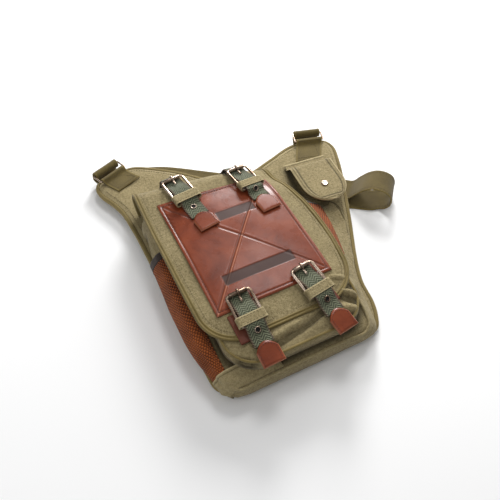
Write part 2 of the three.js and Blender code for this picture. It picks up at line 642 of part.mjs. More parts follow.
// Layers of a buckle, from the leather panel out
const WEB_BASE = PANEL_TOP + LAYER_GAP;
const KEEPER_LOW = PANEL_TOP + BUCKLE_GAP;
const BAR_HEIGHT = 0.8 * FRAME_WIRE;
const BAR_OUT = KEEPER_LOW + KEEPER_WALL + BUCKLE_GAP + BAR_HEIGHT / 2;
const WEB_OVER_BAR = BAR_OUT + BAR_HEIGHT / 2 + BUCKLE_GAP;
const KEEPER_TOP = WEB_OVER_BAR + BUCKLE_WEB_THICKNESS + BUCKLE_GAP;
const ROLLER_OUT = WEB_BASE + BUCKLE_WEB_THICKNESS + BUCKLE_GAP + ROLLER_DIAMETER / 2;
const BAR_REACH = FRAME_LENGTH - FRAME_WIRE;
const TIP_START = BAR_REACH + TIP_FROM_FRAME;
const STRAP_END = TIP_START + TIP_LENGTH;

// How far down the strap the frame's lower bar comes to lie. Over the roll of the top that is less
// than the length of the frame.
function barPlace(strap) {
  const roller = strapPoint(strap, 0, 0, ROLLER_OUT);
  let near = 0.5 * BAR_REACH;
  let far = BAR_REACH;
  steps(16).forEach(() => {
    const middle = (near + far) / 2;
    const beyond = roller.distanceTo(strapPoint(strap, 0, middle, BAR_OUT)) > BAR_REACH;
    if (beyond) far = middle;
    else near = middle;
  });
  return near;
}

// The buckle's own frame of reference: origin in the roller, x across, y up, z out
function buckleSeat(strap, bar) {
  const raise = strap.raise * ROLLER_DIAMETER;
  const roller = strapPoint(strap, 0, 0, ROLLER_OUT + raise);
  const y = roller.clone().sub(strapPoint(strap, 0, bar, BAR_OUT + raise)).normalize();
  const across = (down) => strapPoint(strap, 1, down, 0).sub(strapPoint(strap, -1, down, 0));
  const x = across(0).add(across(bar));
  x.addScaledVector(y, -x.dot(y)).normalize();
  return new THREE.Matrix4().makeBasis(x, y, x.clone().cross(y)).setPosition(roller);
}

// Height in the buckle's frame of a distance out from the front
const seatHeight = (strap, down, out) => out - lerp(ROLLER_OUT, BAR_OUT, down / strap.bar);

// The strap runs straight through its buckle and follows the front beyond it
function buckledPoint(strap, side, down, out) {
  const held = vec(side, -BAR_REACH * down / strap.bar, seatHeight(strap, down, out))
    .applyMatrix4(strap.seat);
  const grip = smoothstep(down, -3 * ROLLER_DIAMETER, -ROLLER_DIAMETER)
    * (1 - smoothstep(down, strap.bar + FRAME_WIRE, strap.bar + 5 * FRAME_WIRE));
  return strapPoint(strap, side, down, out).lerp(held, grip);
}

// Underside of the webbing: under the roller, over the frame's lower bar, down to the tip
function webbingOut(strap, down) {
  const rise = smoothstep(down, ROLLER_DIAMETER, strap.bar - KEEPER_LENGTH);
  const fall = smoothstep(down, strap.bar + FRAME_WIRE, strap.bar + 5 * FRAME_WIRE);
  const behind = smoothstep(-down, 2 * ROLLER_DIAMETER, 4 * ROLLER_DIAMETER);
  return WEB_BASE + (WEB_OVER_BAR - WEB_BASE) * rise * (1 - fall)
    - (PANEL_WALL + LAYER_GAP) * behind;
}

function addWebbing(strap) {
  const half = BUCKLE_WEB_WIDTH / 2;
  const start = -strap.over * OVER_TOP_LENGTH - ROLLER_DIAMETER / 2;
  const along = [...(strap.over ? steps(6, start, -ROLLER_DIAMETER) : [start]),
    ...steps(12, 0, TIP_START - CLEARANCE)];
  add(`strap_${strap.name}`, sheet([-half, 0, half], along, (side, down, level) =>
    buckledPoint(strap, side, down, webbingOut(strap, down) + level * BUCKLE_WEB_THICKNESS)),
  WEBBING);
}

function addTip(strap) {
  const crown = 0.35 * TIP_LENGTH;
  const edge = 0.3 * TIP_THICKNESS;
  add(`tip_${strap.name}`, sheet([-1, -0.5, 0, 0.5, 1], steps(6, TIP_START, STRAP_END),
    (share, down, level) => {
      const bow = crown * share * share * (STRAP_END - down) / TIP_LENGTH;
      const thin = Math.abs(share) === 1 ? edge : 0;
      return strapPoint(strap, share * TIP_WIDTH / 2, down + bow,
        WEB_BASE + (level ? TIP_THICKNESS - thin : thin));
    }), LEATHER);
}

function addBuckle(strap) {
  const outline = roundedRectangle(FRAME_WIDTH, FRAME_LENGTH, FRAME_CORNER);
  outline.holes.push(roundedRectangle(FRAME_WIDTH - 2 * FRAME_WIRE, FRAME_LENGTH - 2 * FRAME_WIRE,
    FRAME_CORNER - FRAME_WIRE));
  add(`frame_${strap.name}`, extrude(outline, BAR_HEIGHT, 3)
    .translate(0, -BAR_REACH / 2, -BAR_HEIGHT / 2), METAL, strap.seat);

  const half = FRAME_WIDTH / 2 - FRAME_CORNER - CLEARANCE;
  const outer = ROLLER_DIAMETER / 2;
  const inner = outer - ROLLER_WALL;
  const profile = [[inner, -half], [outer, -half], [outer, half], [inner, half], [inner, -half]];
  add(`roller_${strap.name}`, lathe(profile).rotateZ(Math.PI / 2), METAL, strap.seat);

  const radius = PRONG_DIAMETER / 2;
  const over = outer + BUCKLE_GAP + radius;
  const foot = webbingOut(strap, PRONG_LENGTH) + BUCKLE_WEB_THICKNESS + BUCKLE_GAP + radius;
  const path = new THREE.CatmullRomCurve3([
    vec(0, -PRONG_LENGTH, seatHeight(strap, PRONG_LENGTH, foot)), vec(0, -1.3 * over, 0.5 * over),
    vec(0, -0.45 * over, 0.95 * over), vec(0, 0.3 * over, 1.02 * over),
  ]);
  const round = new THREE.Shape().absarc(0, 0, radius, 0, 2 * Math.PI);
  add(`prong_${strap.name}`, new THREE.ExtrudeGeometry(round,
    { steps: 6, extrudePath: path, curveSegments: 4 }), METAL, strap.seat);
}

function addKeeper(strap) {
  const wide = FRAME_WIDTH / 2 + BUCKLE_GAP + KEEPER_WALL;
  const band = [BAR_REACH - KEEPER_LENGTH, BAR_REACH];
  const loop = (side, low, high, corner) => [
    [-side, low + corner], [-side + corner, low], [0, low], [side - corner, low],
    [side, low + corner], [side, high - corner], [side - corner, high], [0, high],
    [-side + corner, high], [-side, high - corner],
  ];
  const outer = loop(wide, KEEPER_LOW, KEEPER_TOP + KEEPER_WALL, 2 * KEEPER_WALL);
  const inner = loop(wide - KEEPER_WALL, KEEPER_LOW + KEEPER_WALL, KEEPER_TOP, BUCKLE_GAP);
  const ring = (down, points) =>
    points.map(([side, out]) => buckledPoint(strap, side, down, out));
  const rings = [ring(band[0], outer), ring(band[1], outer), ring(band[1], inner),
    ring(band[0], inner), ring(band[0], outer)];
  add(`keeper_${strap.name}`, mergeVertices(loft(rings, 'none'), 1e-4), CANVAS);
}

function addEyelet(strap) {
  const outer = EYELET_DIAMETER / 2;
  const inner = EYELET_HOLE / 2;
  const at = FRAME_LENGTH + EYELET_BELOW_FRAME;
  const place = (side, down) => buckledPoint(strap, side, down,
    webbingOut(strap, down) + BUCKLE_WEB_THICKNESS + 2 * BUCKLE_GAP);
  const y = place(0, at - outer).sub(place(0, at + outer)).normalize();
  const x = place(outer, at).sub(place(-outer, at));
  x.addScaledVector(y, -x.dot(y)).normalize();
  const seat = new THREE.Matrix4().makeBasis(x, y, x.clone().cross(y)).setPosition(place(0, at));
  const profile = [[inner, 0], [outer, 0], [0.9 * outer, EYELET_THICKNESS],
    [inner, EYELET_THICKNESS], [inner, 0]];
  add(`eyelet_${strap.name}`, lathe(profile).rotateX(Math.PI / 2), METAL, seat);
}

// Leather tab under a lower strap, on the flap and past its edge
function addTab(strap) {
  const end = BAR_REACH + TAB_BELOW_FRAME;
  add(`tab_${strap.name}`, sheet([-0.5, 0, 0.5], steps(4, end - TAB_LENGTH, end),
    (share, down, level) => strapPoint(strap, (strap.tab + share) * TAB_WIDTH, down,
      FLAP_TOP + LAYER_GAP + level * TAB_THICKNESS)), LEATHER);
}

function addBuckleStrap(row) {
  const bar = barPlace(row);
  const strap = { ...row, bar, seat: buckleSeat(row, bar) };
  addWebbing(strap);
  addTip(strap);
  addBuckle(strap);
  addKeeper(strap);
  addEyelet(strap);
  if (strap.tab) addTab(strap);
}

// Webbing through stations {at, across}: the middle of the strap and half of its width there
function ribbon(stations, thickness) {
  const rings = stations.map(({ at, across }, i) => {
    const before = stations[Math.max(i - 1, 0)].at;
    const after = stations[Math.min(i + 1, stations.length - 1)].at;
    const normal = across.clone().cross(after.clone().sub(before)).normalize();
    const corner = (side, level) => at.clone().addScaledVector(across, side)
      .addScaledVector(normal, level * thickness / 2);
    return [corner(-1, 1), corner(1, 1), corner(1, -1), corner(-1, -1)];
  });
  return loft(rings, 'strip');
}

// Ears

const EAR_TOP = BACK_TOP + BACK_LIFT + CLEARANCE;
const RING_HEIGHT = EAR_TOP + EAR_TAB_THICKNESS + RING_WIRE / 2 + 2 * CLEARANCE;

function ringPlace(ring, x, up, z) {
  const turn = degToRad(ring.turn);
  return backPlace(ring, z).add(vec(x * Math.cos(turn) - up * Math.sin(turn),
    x * Math.sin(turn) + up * Math.cos(turn), 0));
}

function addRing(name, ring) {
  const wide = RING_INNER_WIDTH + 2 * RING_WIRE;
  const high = RING_INNER_HEIGHT + 2 * RING_WIRE;
  const outline = roundedRectangle(wide, high, RING_WIRE);
  outline.holes.push(roundedRectangle(RING_INNER_WIDTH, RING_INNER_HEIGHT, RING_WIRE / 4));
  const seat = new THREE.Matrix4().makeRotationZ(degToRad(ring.turn))
    .setPosition(backPlace(ring, RING_HEIGHT - RING_WIRE / 2));
  add(name, extrude(outline, RING_WIRE, 3), METAL, seat);
}

// Webbing tab on the ear, looped round the ring's inner bar
function addEarTab(name, ring) {
  const bar = -(RING_INNER_HEIGHT + RING_WIRE) / 2;
  const round = RING_WIRE / 2 * Math.SQRT2 + CLEARANCE + EAR_TAB_THICKNESS / 2;
  const low = EAR_TOP + EAR_TAB_THICKNESS / 2;
  const across = ringPlace(ring, WEB_WIDTH / 2, 0, 0).sub(ringPlace(ring, 0, 0, 0));
  const turns = steps(8, 150, -60).map((angle) => [
    bar + round * Math.cos(degToRad(angle)), RING_HEIGHT + round * Math.sin(degToRad(angle))]);
  const path = [[bar - ring.tab * WEB_WIDTH, low], [bar - 3.4 * round, low],
    [bar - 2 * round, low + 0.4 * RING_WIRE], ...turns];
  const stations = path.map(([up, z]) => ({
    at: ringPlace(ring, ring.lean * Math.max(bar - up, 0), up, z), across,
  }));
  add(name, ribbon(stations, EAR_TAB_THICKNESS), STRAP_WEBBING);
}

function addSnapPocket() {
  const seat = new THREE.Matrix4().makeRotationZ(degToRad(SNAP_POCKET.turn))
    .setPosition(backPlace(SNAP_POCKET, EAR_TOP));
  const round = (x) => 1 - 0.3 * Math.abs(2 * x / SNAP_POCKET_WIDTH) ** 2.5;
  add('snap_pocket', pocketShell({
    width: SNAP_POCKET_WIDTH,
    length: SNAP_POCKET_LENGTH,
    corner: SNAP_POCKET_CORNER,
    wall: SNAP_POCKET_WALL,
    depth: SNAP_POCKET_DEPTH,
    low: () => 0,
    high: (x) => SNAP_POCKET_DEPTH * round(x),
  }, [0.01, 0.06, 0.14, 0.28, 0.6, 1]), CANVAS,
  seat.clone().multiply(new THREE.Matrix4()
    .makeTranslation(0, -SNAP_POCKET_LENGTH - SNAP_MOUTH_DROP, 0)));

  const half = SNAP_FLAP_WIDTH / 2;
  const edge = (at) => half * Math.sqrt(1 - clamp((at - 0.55) / 0.45, 0, 0.995) ** 2.4);
  const high = (at) => SNAP_POCKET_DEPTH * follow(SNAP_FLAP_HEIGHT, at, 'rise');
  const place = (share, at, level) => vec(share * edge(at), -at * SNAP_FLAP_LENGTH,
    high(at) * (1 - 0.05 * share * share) + SNAP_FLAP_WALL * level);
  const levels = [0, 0.04, 0.08, 0.13, 0.25, 0.4, 0.55, 0.68, 0.78, 0.86, 0.92, 0.96, 0.985, 1];
  add('snap_flap', sheet(steps(4, -1, 1), levels, place), CANVAS, seat);

  const radius = SNAP_CAP_DIAMETER / 2;
  const profile = [[0, 0], [radius, 0], [radius, 0.3 * SNAP_CAP_HEIGHT],
    [0.8 * radius, 0.75 * SNAP_CAP_HEIGHT], [0.4 * radius, SNAP_CAP_HEIGHT],
    [0, SNAP_CAP_HEIGHT]];
  const centre = place(0, SNAP_CAP_AT, 1);
  add('snap_cap', lathe(profile).rotateX(Math.PI / 2)
    .translate(0, centre.y, centre.z + CLEARANCE), METAL, seat);
}

// Shoulder strap: over the right ring, down behind its ear, folded, out in a loop beside the bag,
// back along the floor under the bag and over the left ring
function addShoulderStrap() {
  const half = WEB_WIDTH / 2;
  const floor = WEB_THICKNESS / 2 + 0.1;
  const layer = WEB_THICKNESS + LAYER_GAP;
  const widthAt = (turn) => vec(Math.cos(degToRad(turn)), Math.sin(degToRad(turn)), 0)
    .multiplyScalar(half);
  const outerBar = (RING_INNER_HEIGHT + RING_WIRE) / 2;

  const overRing = (ring, side) => RING_ROLL.map(({ up, high }) => ({
    at: ringPlace(ring, 0, outerBar + RING_ROLL_RADIUS * up,
      RING_HEIGHT + RING_ROLL_RADIUS * high),
    across: ringPlace(ring, side * half, 0, 0).sub(ringPlace(ring, 0, 0, 0)),
  }));

  // A straight stretch whose rows lean by the given shares of the fold's slant
  const slant = 1 / Math.tan(degToRad(WEB_FOLD_ANGLE));
  const stretch = (from, to, leans, side) => leans.map(([t, lean]) => {
    const along = to.clone().sub(from).setZ(0).normalize();
    const across = vec(-along.y, along.x, 0).multiplyScalar(side * half)
      .addScaledVector(along, half * slant * lean);
    return { at: from.clone().lerp(to, t), across };
  });

  const right = overRing(RIGHT_RING, 1).reverse();
  const under = ringPlace(RIGHT_RING, 0, outerBar, floor + 2 * layer);
  const crease = backPlace(STRAP_CREASE, floor + 2 * layer);
  const creaseLow = crease.clone().setZ(floor + layer);
  const exit = backPlace(STRAP_EXIT, floor + layer);
  const inward = stretch(under, crease, [[0, 0], [0.3, 0], [0.6, 0.4], [0.85, 0.8], [1, 1]], 1);
  const outward = stretch(creaseLow, exit, [[0, 1], [0.35, 0.6], [0.7, 0.2], [0.9, 0]], -1);
  const creaseAcross = inward[inward.length - 1].across;
  const bend = vec(creaseAcross.y, -creaseAcross.x, 0).normalize().multiplyScalar(-layer / 2);
  const fold = [{
    at: crease.clone().add(bend).setZ(floor + 1.5 * layer), across: creaseAcross,
  }];

  const loopWay = widthAt(LOOP_DIRECTION).normalize();
  const loop = STRAP_LOOP.map(({ reach, rise, turn }) => ({
    at: exit.clone().addScaledVector(loopWay, reach * LOOP_REACH)
      .setZ(floor + (LOOP_HEIGHT - floor) * rise),
    across: widthAt(turn),
  }));
  const [runStart, runEnd] = STRAP_RUN.map((place) => backPlace(place, floor));
  const run = stretch(runStart, runEnd, steps(4).map((t) => [t, 0]), 1);
  const leftTurn = STRAP_LEFT_TURN.map((row) => ({
    at: backPlace(row, floor), across: widthAt(row.turn),
  }));
  const stations = [...right, ...inward, ...fold, ...outward, ...loop, ...run, ...leftTurn,
    ...overRing(LEFT_RING, -1)];
  add('shoulder_strap', ribbon(stations, WEB_THICKNESS), STRAP_WEBBING);
}

addBack();
addBody();
addFrontPocket();
MESH_POCKETS.forEach(addMeshPocket);
addFlap();
addFlapBinding();
addLeatherPanel();
BUCKLE_STRAPS.forEach(addBuckleStrap);
addRing('ring_left', LEFT_RING);
addRing('ring_right', RIGHT_RING);
addEarTab('ear_tab_left', LEFT_RING);
addEarTab('ear_tab_right', RIGHT_RING);
addSnapPocket();
addShoulderStrap();

// The origin is on the floor under the middle of the whole bag
const bounds = new THREE.Box3().setFromObject(bag, true);
const middle = bounds.getCenter(vec(0, 0, 0));
bag.position.set(-middle.x, -middle.y, -bounds.min.z);

export default bag;
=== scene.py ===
"""Looks of a canvas shoulder bag that lies on its back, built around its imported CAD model.

Lengths are millimetres in the bag's own frame, as in the CAD source, until mesh() turns them into
metres in the row's frame. Each soft piece repeats the surface of the CAD solid that it stands for,
with more faces, folds, seams and stitches.
"""
import math

import bpy
import numpy as np
from mathutils import Matrix, Vector, geometry


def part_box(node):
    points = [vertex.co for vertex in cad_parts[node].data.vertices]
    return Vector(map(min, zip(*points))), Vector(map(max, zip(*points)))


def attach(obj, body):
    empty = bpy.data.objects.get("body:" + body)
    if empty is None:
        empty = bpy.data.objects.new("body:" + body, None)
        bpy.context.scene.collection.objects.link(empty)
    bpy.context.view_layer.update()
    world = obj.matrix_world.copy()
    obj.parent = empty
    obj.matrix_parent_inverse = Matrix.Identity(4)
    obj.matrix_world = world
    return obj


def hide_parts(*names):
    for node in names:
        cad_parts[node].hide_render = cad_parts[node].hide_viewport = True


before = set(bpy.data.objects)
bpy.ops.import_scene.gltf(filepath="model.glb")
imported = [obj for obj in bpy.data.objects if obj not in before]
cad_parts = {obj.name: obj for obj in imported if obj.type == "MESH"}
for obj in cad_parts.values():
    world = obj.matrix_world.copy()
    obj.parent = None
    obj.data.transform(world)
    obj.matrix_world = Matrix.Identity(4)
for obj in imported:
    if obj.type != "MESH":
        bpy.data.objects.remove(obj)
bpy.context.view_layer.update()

BODY = "root"
MM = 0.001

# Sizes of the CAD model
CLEARANCE = 0.3
FLOOR_GAP = 0.1
LAYER_GAP = 0.6
BACK_LENGTH = 392.0
BACK_HALF_WIDTH = 115.0
BACK_THICKNESS = 11.0
BINDING_WIDTH = 6.0
BINDING_THICKNESS = 8.0
BACK_LIFT = 8.0
BODY_WALL = 2.0
GUSSET_BULGE = 3.0
GUSSET_SAG = 6.0
FRONT_LENGTH = 262.0
FRONT_HEIGHT = 71.0
FRONT_HALF_WIDTH = 101.0
SIDE_DROP = 5.5
CORNER_SAG = 10.0
TOP_SLANT = 0.15
POCKET_DEPTH = 16.0
POCKET_LENGTH = 200.0
POCKET_WIDTH = 176.0
POCKET_SHIFT = 4.0
POCKET_WALL = 1.6
POCKET_CORNER = 40.0
FLAP_WALL = 1.6
FLAP_LOW_EDGE = 30.0
FLAP_CORNER = 48.0
FLAP_BINDING = 7.0
FLAP_BINDING_THICKNESS = 2.4
ROLL_TURN = 150.0
PANEL_WIDTH = 151.0
PANEL_LENGTH = 180.0
PANEL_WALL = 1.8
PANEL_LOW_EDGE = 67.0
WEB_NARROW = 25.0
WEB_NARROW_THICKNESS = 2.0
OVER_TOP_LENGTH = 34.0
TIP_FROM_FRAME = 22.0
TIP_LENGTH = 28.0
TIP_WIDTH = 27.5
TIP_THICKNESS = 4.0
FRAME_WIDTH = 33.0
FRAME_LENGTH = 43.0
FRAME_WIRE = 3.0
FRAME_CORNER = 5.0
ROLLER_DIAMETER = 5.5
PRONG_DIAMETER = 2.2
PRONG_LENGTH = 12.0
KEEPER_LENGTH = 12.0
KEEPER_WALL = 1.2
BUCKLE_GAP = 0.6
EYELET_BELOW_FRAME = 6.0
EYELET_DIAMETER = 8.0
TAB_WIDTH = 26.0
TAB_THICKNESS = 1.6
TAB_LENGTH = 36.0
TAB_BELOW_FRAME = 15.0
MESH_WALL = 2.0
MESH_BULGE = 11.0
MESH_LENGTH = 180.0
MESH_LOW_EDGE = 14.0
ELASTIC_HEIGHT = 11.0
ELASTIC_WALL = 2.4
WEB_WIDTH = 40.0
WEB_THICKNESS = 1.8
WEB_FOLD_ANGLE = 32.5
LOOP_HEIGHT = 38.0
LOOP_REACH = 70.0
LOOP_DIRECTION = -44.7
RING_INNER_WIDTH = 41.5
RING_INNER_HEIGHT = 14.5
RING_WIRE = 2.4
RING_ROLL_RADIUS = 4.0
EAR_TAB_THICKNESS = 2.0
SNAP_POCKET_WIDTH = 50.0
SNAP_POCKET_LENGTH = 50.0
SNAP_POCKET_CORNER = 14.0
SNAP_POCKET_DEPTH = 13.0
SNAP_POCKET_WALL = 1.6
SNAP_MOUTH_DROP = 14.0
SNAP_FLAP_WIDTH = 65.0
SNAP_FLAP_LENGTH = 91.0
SNAP_FLAP_WALL = 2.0
SNAP_CAP_DIAMETER = 10.0
SNAP_CAP_HEIGHT = 3.0
SNAP_CAP_AT = 0.66

# at is a share of the back's length, out a share of its half width
BACK_OUTLINE = [
    (-0.010, -0.60), (0.002, -0.78), (0.040, -0.90), (0.110, -0.925), (0.300, -0.935),
    (0.560, -0.945), (0.690, -0.955), (0.790, -0.985), (0.850, -1.050), (0.892, -1.114),
    (0.940, -1.140), (0.972, -1.085), (0.985, -0.850), (0.998, -0.640), (0.985, -0.500),
    (0.902, -0.105), (0.802, 0.275), (0.772, 0.675), (0.802, 1.055), (0.837, 1.490),
    (0.805, 1.910), (0.759, 1.975), (0.681, 1.905), (0.532, 1.690), (0.414, 1.515),
    (0.180, 1.155), (0.090, 1.105), (0.040, 1.045), (0.000, 0.950), (-0.012, 0.700),
    (-0.016, 0.050),
]

# at is a share of the front's length, rise a share of its height
CREST = {
    "at": [-0.08, 0.00, 0.10, 0.26, 0.46, 0.65, 0.84, 0.94, 1.00],
    "rise": [0.73, 0.77, 0.85, 0.94, 0.99, 1.00, 0.98, 0.955, 0.95],
}

# Flap edges as shares of the front's half width
FLAP_SIDES = {
    "at": [0.00, 0.25, 0.45, 0.65, 0.82, 1.00, 1.30],
    "left": [-0.97, -0.97, -0.98, -0.98, -0.98, -0.96, -0.93],
    "right": [0.92, 1.00, 1.05, 1.04, 0.97, 0.92, 0.89],
}

# Body sections, as in the CAD source
BODY_SECTIONS = {
    "at": [-0.034, -0.026, 0.0, 0.05, 0.15, 0.28, 0.41, 0.54, 0.65, 0.74, 0.82, 0.90, 0.98],
    "left": [-0.64, -0.76, -0.82, -0.86, -0.87, -0.88, -0.88, -0.88, -0.89, -0.89, -0.89,
             -0.89, -0.88],
    "right": [0.74, 0.86, 0.93, 0.97, 1.02, 1.10, 1.24, 1.37, 1.45, 1.44, 1.17, 1.05, 0.97],
    "front": [0.70, 0.84, 0.92, 0.95, 0.96, 0.96, 0.96, 0.96, 0.96, 0.95, 0.93, 0.90, 0.88],
    "rise": [0.50, 0.80, 0.96, 1.0, 1.0, 1.0, 1.0, 1.0, 1.0, 1.0, 1.0, 0.99, 0.97],
    "sag": [-0.2, -0.2, -0.2, -0.1, 0.0, 0.2, 0.4, 0.7, 1.0, 1.0, 0.9, 0.3, 0.0],
}

BUCKLE_STRAPS = [
    {"name": "upper_left", "across": -0.556, "along": 1.144, "turn": 7.9, "over": 1,
     "raise": 0.25},
    {"name": "upper_right", "across": 0.570, "along": 1.111, "turn": 7.0, "over": 1,
     "raise": 0.25},
    {"name": "lower_left", "across": -0.570, "along": 0.083, "turn": 1.0, "over": 0,
     "raise": 0.05, "tab": -0.38},
    {"name": "lower_right", "across": 0.530, "along": 0.083, "turn": 8.8, "over": 0,
     "raise": 0.05, "tab": 0.15},
]
RINGS = {
    "left": {"at": 0.990, "out": -0.896, "turn": 22, "tab": 0.75, "lean": 0.16},
    "right": {"at": 0.832, "out": 1.713, "turn": -16, "tab": 1.05, "lean": -0.26},
}
SNAP_POCKET = {"at": 0.704, "out": 1.429, "turn": -5}
SNAP_FLAP_HEIGHT = {
    "at": [0.00, 0.06, 0.14, 0.30, 0.60, 1.00],
    "rise": [0.00, 0.45, 1.10, 1.24, 1.34, 1.44],
}
STRAP_CREASE = {"at": 0.668, "out": 1.435}
STRAP_EXIT = {"at": 0.564, "out": 1.730}
STRAP_RUN = [{"at": 0.477, "out": 1.965}, {"at": 0.936, "out": -0.261}]
# reach and rise are shares of the loop's reach and height, turn is in degrees
STRAP_LOOP = [
    (0.00, 0.09, -139), (0.14, 0.14, -137), (0.28, 0.46, -135), (0.42, 0.77, -135),
    (0.56, 0.95, -135), (0.69, 1.00, -135), (0.81, 0.97, -134), (0.91, 0.88, -133),
    (0.975, 0.72, -132), (1.00, 0.51, -131), (0.98, 0.30, -130), (0.90, 0.12, -128),
    (0.78, 0.02, -126),
]
STRAP_LEFT_TURN = [(0.974, -0.539, 226), (1.003, -0.748, 216), (1.018, -0.887, 207)]
RING_ROLL = [
    (1.60, -3.30), (1.75, -2.00), (1.50, -0.60), (1.00, 0.55), (0.10, 1.05), (-0.80, 0.55),
    (-1.10, -0.30), (-0.95, -1.20),
]

BACK_TOP = BACK_THICKNESS + CLEARANCE
FLAP_TOP = LAYER_GAP + FLAP_WALL
PANEL_TOP = FLAP_TOP + LAYER_GAP + PANEL_WALL
WEB_BASE = PANEL_TOP + LAYER_GAP
KEEPER_LOW = PANEL_TOP + BUCKLE_GAP
BAR_HEIGHT = 0.8 * FRAME_WIRE
BAR_OUT = KEEPER_LOW + KEEPER_WALL + BUCKLE_GAP + BAR_HEIGHT / 2
WEB_OVER_BAR = BAR_OUT + BAR_HEIGHT / 2 + BUCKLE_GAP
KEEPER_TOP = WEB_OVER_BAR + WEB_NARROW_THICKNESS + BUCKLE_GAP
ROLLER_OUT = WEB_BASE + WEB_NARROW_THICKNESS + BUCKLE_GAP + ROLLER_DIAMETER / 2
BAR_REACH = FRAME_LENGTH - FRAME_WIRE
TIP_START = BAR_REACH + TIP_FROM_FRAME
STRAP_END = TIP_START + TIP_LENGTH
EAR_TOP = BACK_TOP + BACK_LIFT + CLEARANCE
RING_HEIGHT = EAR_TOP + EAR_TAB_THICKNESS + RING_WIRE / 2 + 2 * CLEARANCE

# The bag's own origin in the row's frame, in metres
ORIGIN = np.array([
    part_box("leather_panel")[0].x + PANEL_WIDTH / 2 * MM,
    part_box("front_pocket")[1].y - POCKET_LENGTH * MM,
    0.0,
])

# The camera that was fitted to the photo, in the bag's frame: millimetres and degrees
CAMERA = {"place": (-202.8, -256.3, 638.5), "down": 52.2, "turn": 27.4, "roll": 0.9,
          "sensor": 36.0, "lens": 42.48}
# In the row's frame: metres and watts
LIGHTS = [
    {"name": "gloss", "place": (0.28, 0.40, 1.20), "size": 0.36, "power": 4.6},
    {"name": "side", "place": (1.05, 0.55, 0.60), "size": 0.5, "power": 5.0},
    {"name": "top", "place": (0.72, 1.25, 0.85), "size": 0.5, "power": 27.0},
    {"name": "fill", "place": (-0.9, -0.3, 1.1), "size": 0.6, "power": 2.8},
]
FLOOR = {"size": 12, "tone": 0.93, "roughness": 0.9}
SKY_LOW, SKY_HIGH = 0.08, 0.50


def add_camera():
    down, turn, roll = (math.radians(CAMERA[angle]) for angle in ("down", "turn", "roll"))
    ground = Vector((math.sin(turn), math.cos(turn), 0))
    level = Vector((math.cos(turn), -math.sin(turn), 0))
    ahead = math.cos(down) * ground - Vector((0, 0, math.sin(down)))
    right = math.cos(roll) * level + math.sin(roll) * level.cross(ahead)
    view = Matrix((right, right.cross(ahead), -ahead)).transposed().to_4x4()
    camera = bpy.data.objects.new("camera", bpy.data.cameras.new("camera"))
    camera.data.lens = CAMERA["lens"]
    camera.data.sensor_width = CAMERA["sensor"]
    place = Vector(np.array(CAMERA["place"]) * MM + ORIGIN)
    camera.matrix_world = Matrix.Translation(place) @ view
    bpy.context.scene.collection.objects.link(camera)
    bpy.context.scene.camera = camera


def add_light(name, place, size, power):
    light = bpy.data.lights.new(name, "AREA")
    light.size = size
    light.energy = power
    holder = bpy.data.objects.new(name, light)
    holder.location = place
    holder.rotation_euler = Vector(place).to_track_quat("Z", "Y").to_euler()
    bpy.context.scene.collection.objects.link(holder)


def add_floor():
    bpy.ops.mesh.primitive_plane_add(size=FLOOR["size"])
    floor = bpy.context.object
    floor.name = "floor"
    material = bpy.data.materials.new("floor")
    material.use_nodes = True
    shader = material.node_tree.nodes["Principled BSDF"]
    shader.inputs["Base Color"].default_value = [FLOOR["tone"]] * 3 + [1.0]
    shader.inputs["Roughness"].default_value = FLOOR["roughness"]
    floor.data.materials.append(material)


def add_sky():
    """A white world, darker towards the horizon, so that the metal has something to reflect."""
    world = bpy.data.worlds.new("studio")
    world.use_nodes = True
    tree = world.node_tree
    background = tree.nodes["Background"]
    background.inputs["Color"].default_value = (1, 1, 1, 1)
    way = tree.nodes.new("ShaderNodeTexCoord")
    parts = tree.nodes.new("ShaderNodeSeparateXYZ")
    fade = tree.nodes.new("ShaderNodeMapRange")
    fade.inputs["To Min"].default_value = SKY_LOW
    fade.inputs["To Max"].default_value = SKY_HIGH
    tree.links.new(way.outputs["Generated"], parts.inputs["Vector"])
    tree.links.new(parts.outputs["Z"], fade.inputs["Value"])
    tree.links.new(fade.outputs["Result"], background.inputs["Strength"])
    bpy.context.scene.world = world


add_camera()
add_floor()
add_sky()
for row in LIGHTS:
    add_light(**row)
bpy.context.scene.view_settings.view_transform = "Standard"


# Materials

def linear(red, green, blue):
    """An 8-bit display colour as linear light."""
    shares = [c / 255 for c in (red, green, blue)]
    return [c / 12.92 if c < 0.04045 else ((c + 0.055) / 1.055) ** 2.4 for c in shares] + [1.0]


def scaled(color, factor):
    """A colour times a factor."""
    return [min(c * factor, 1.0) for c in color[:3]] + [1.0]


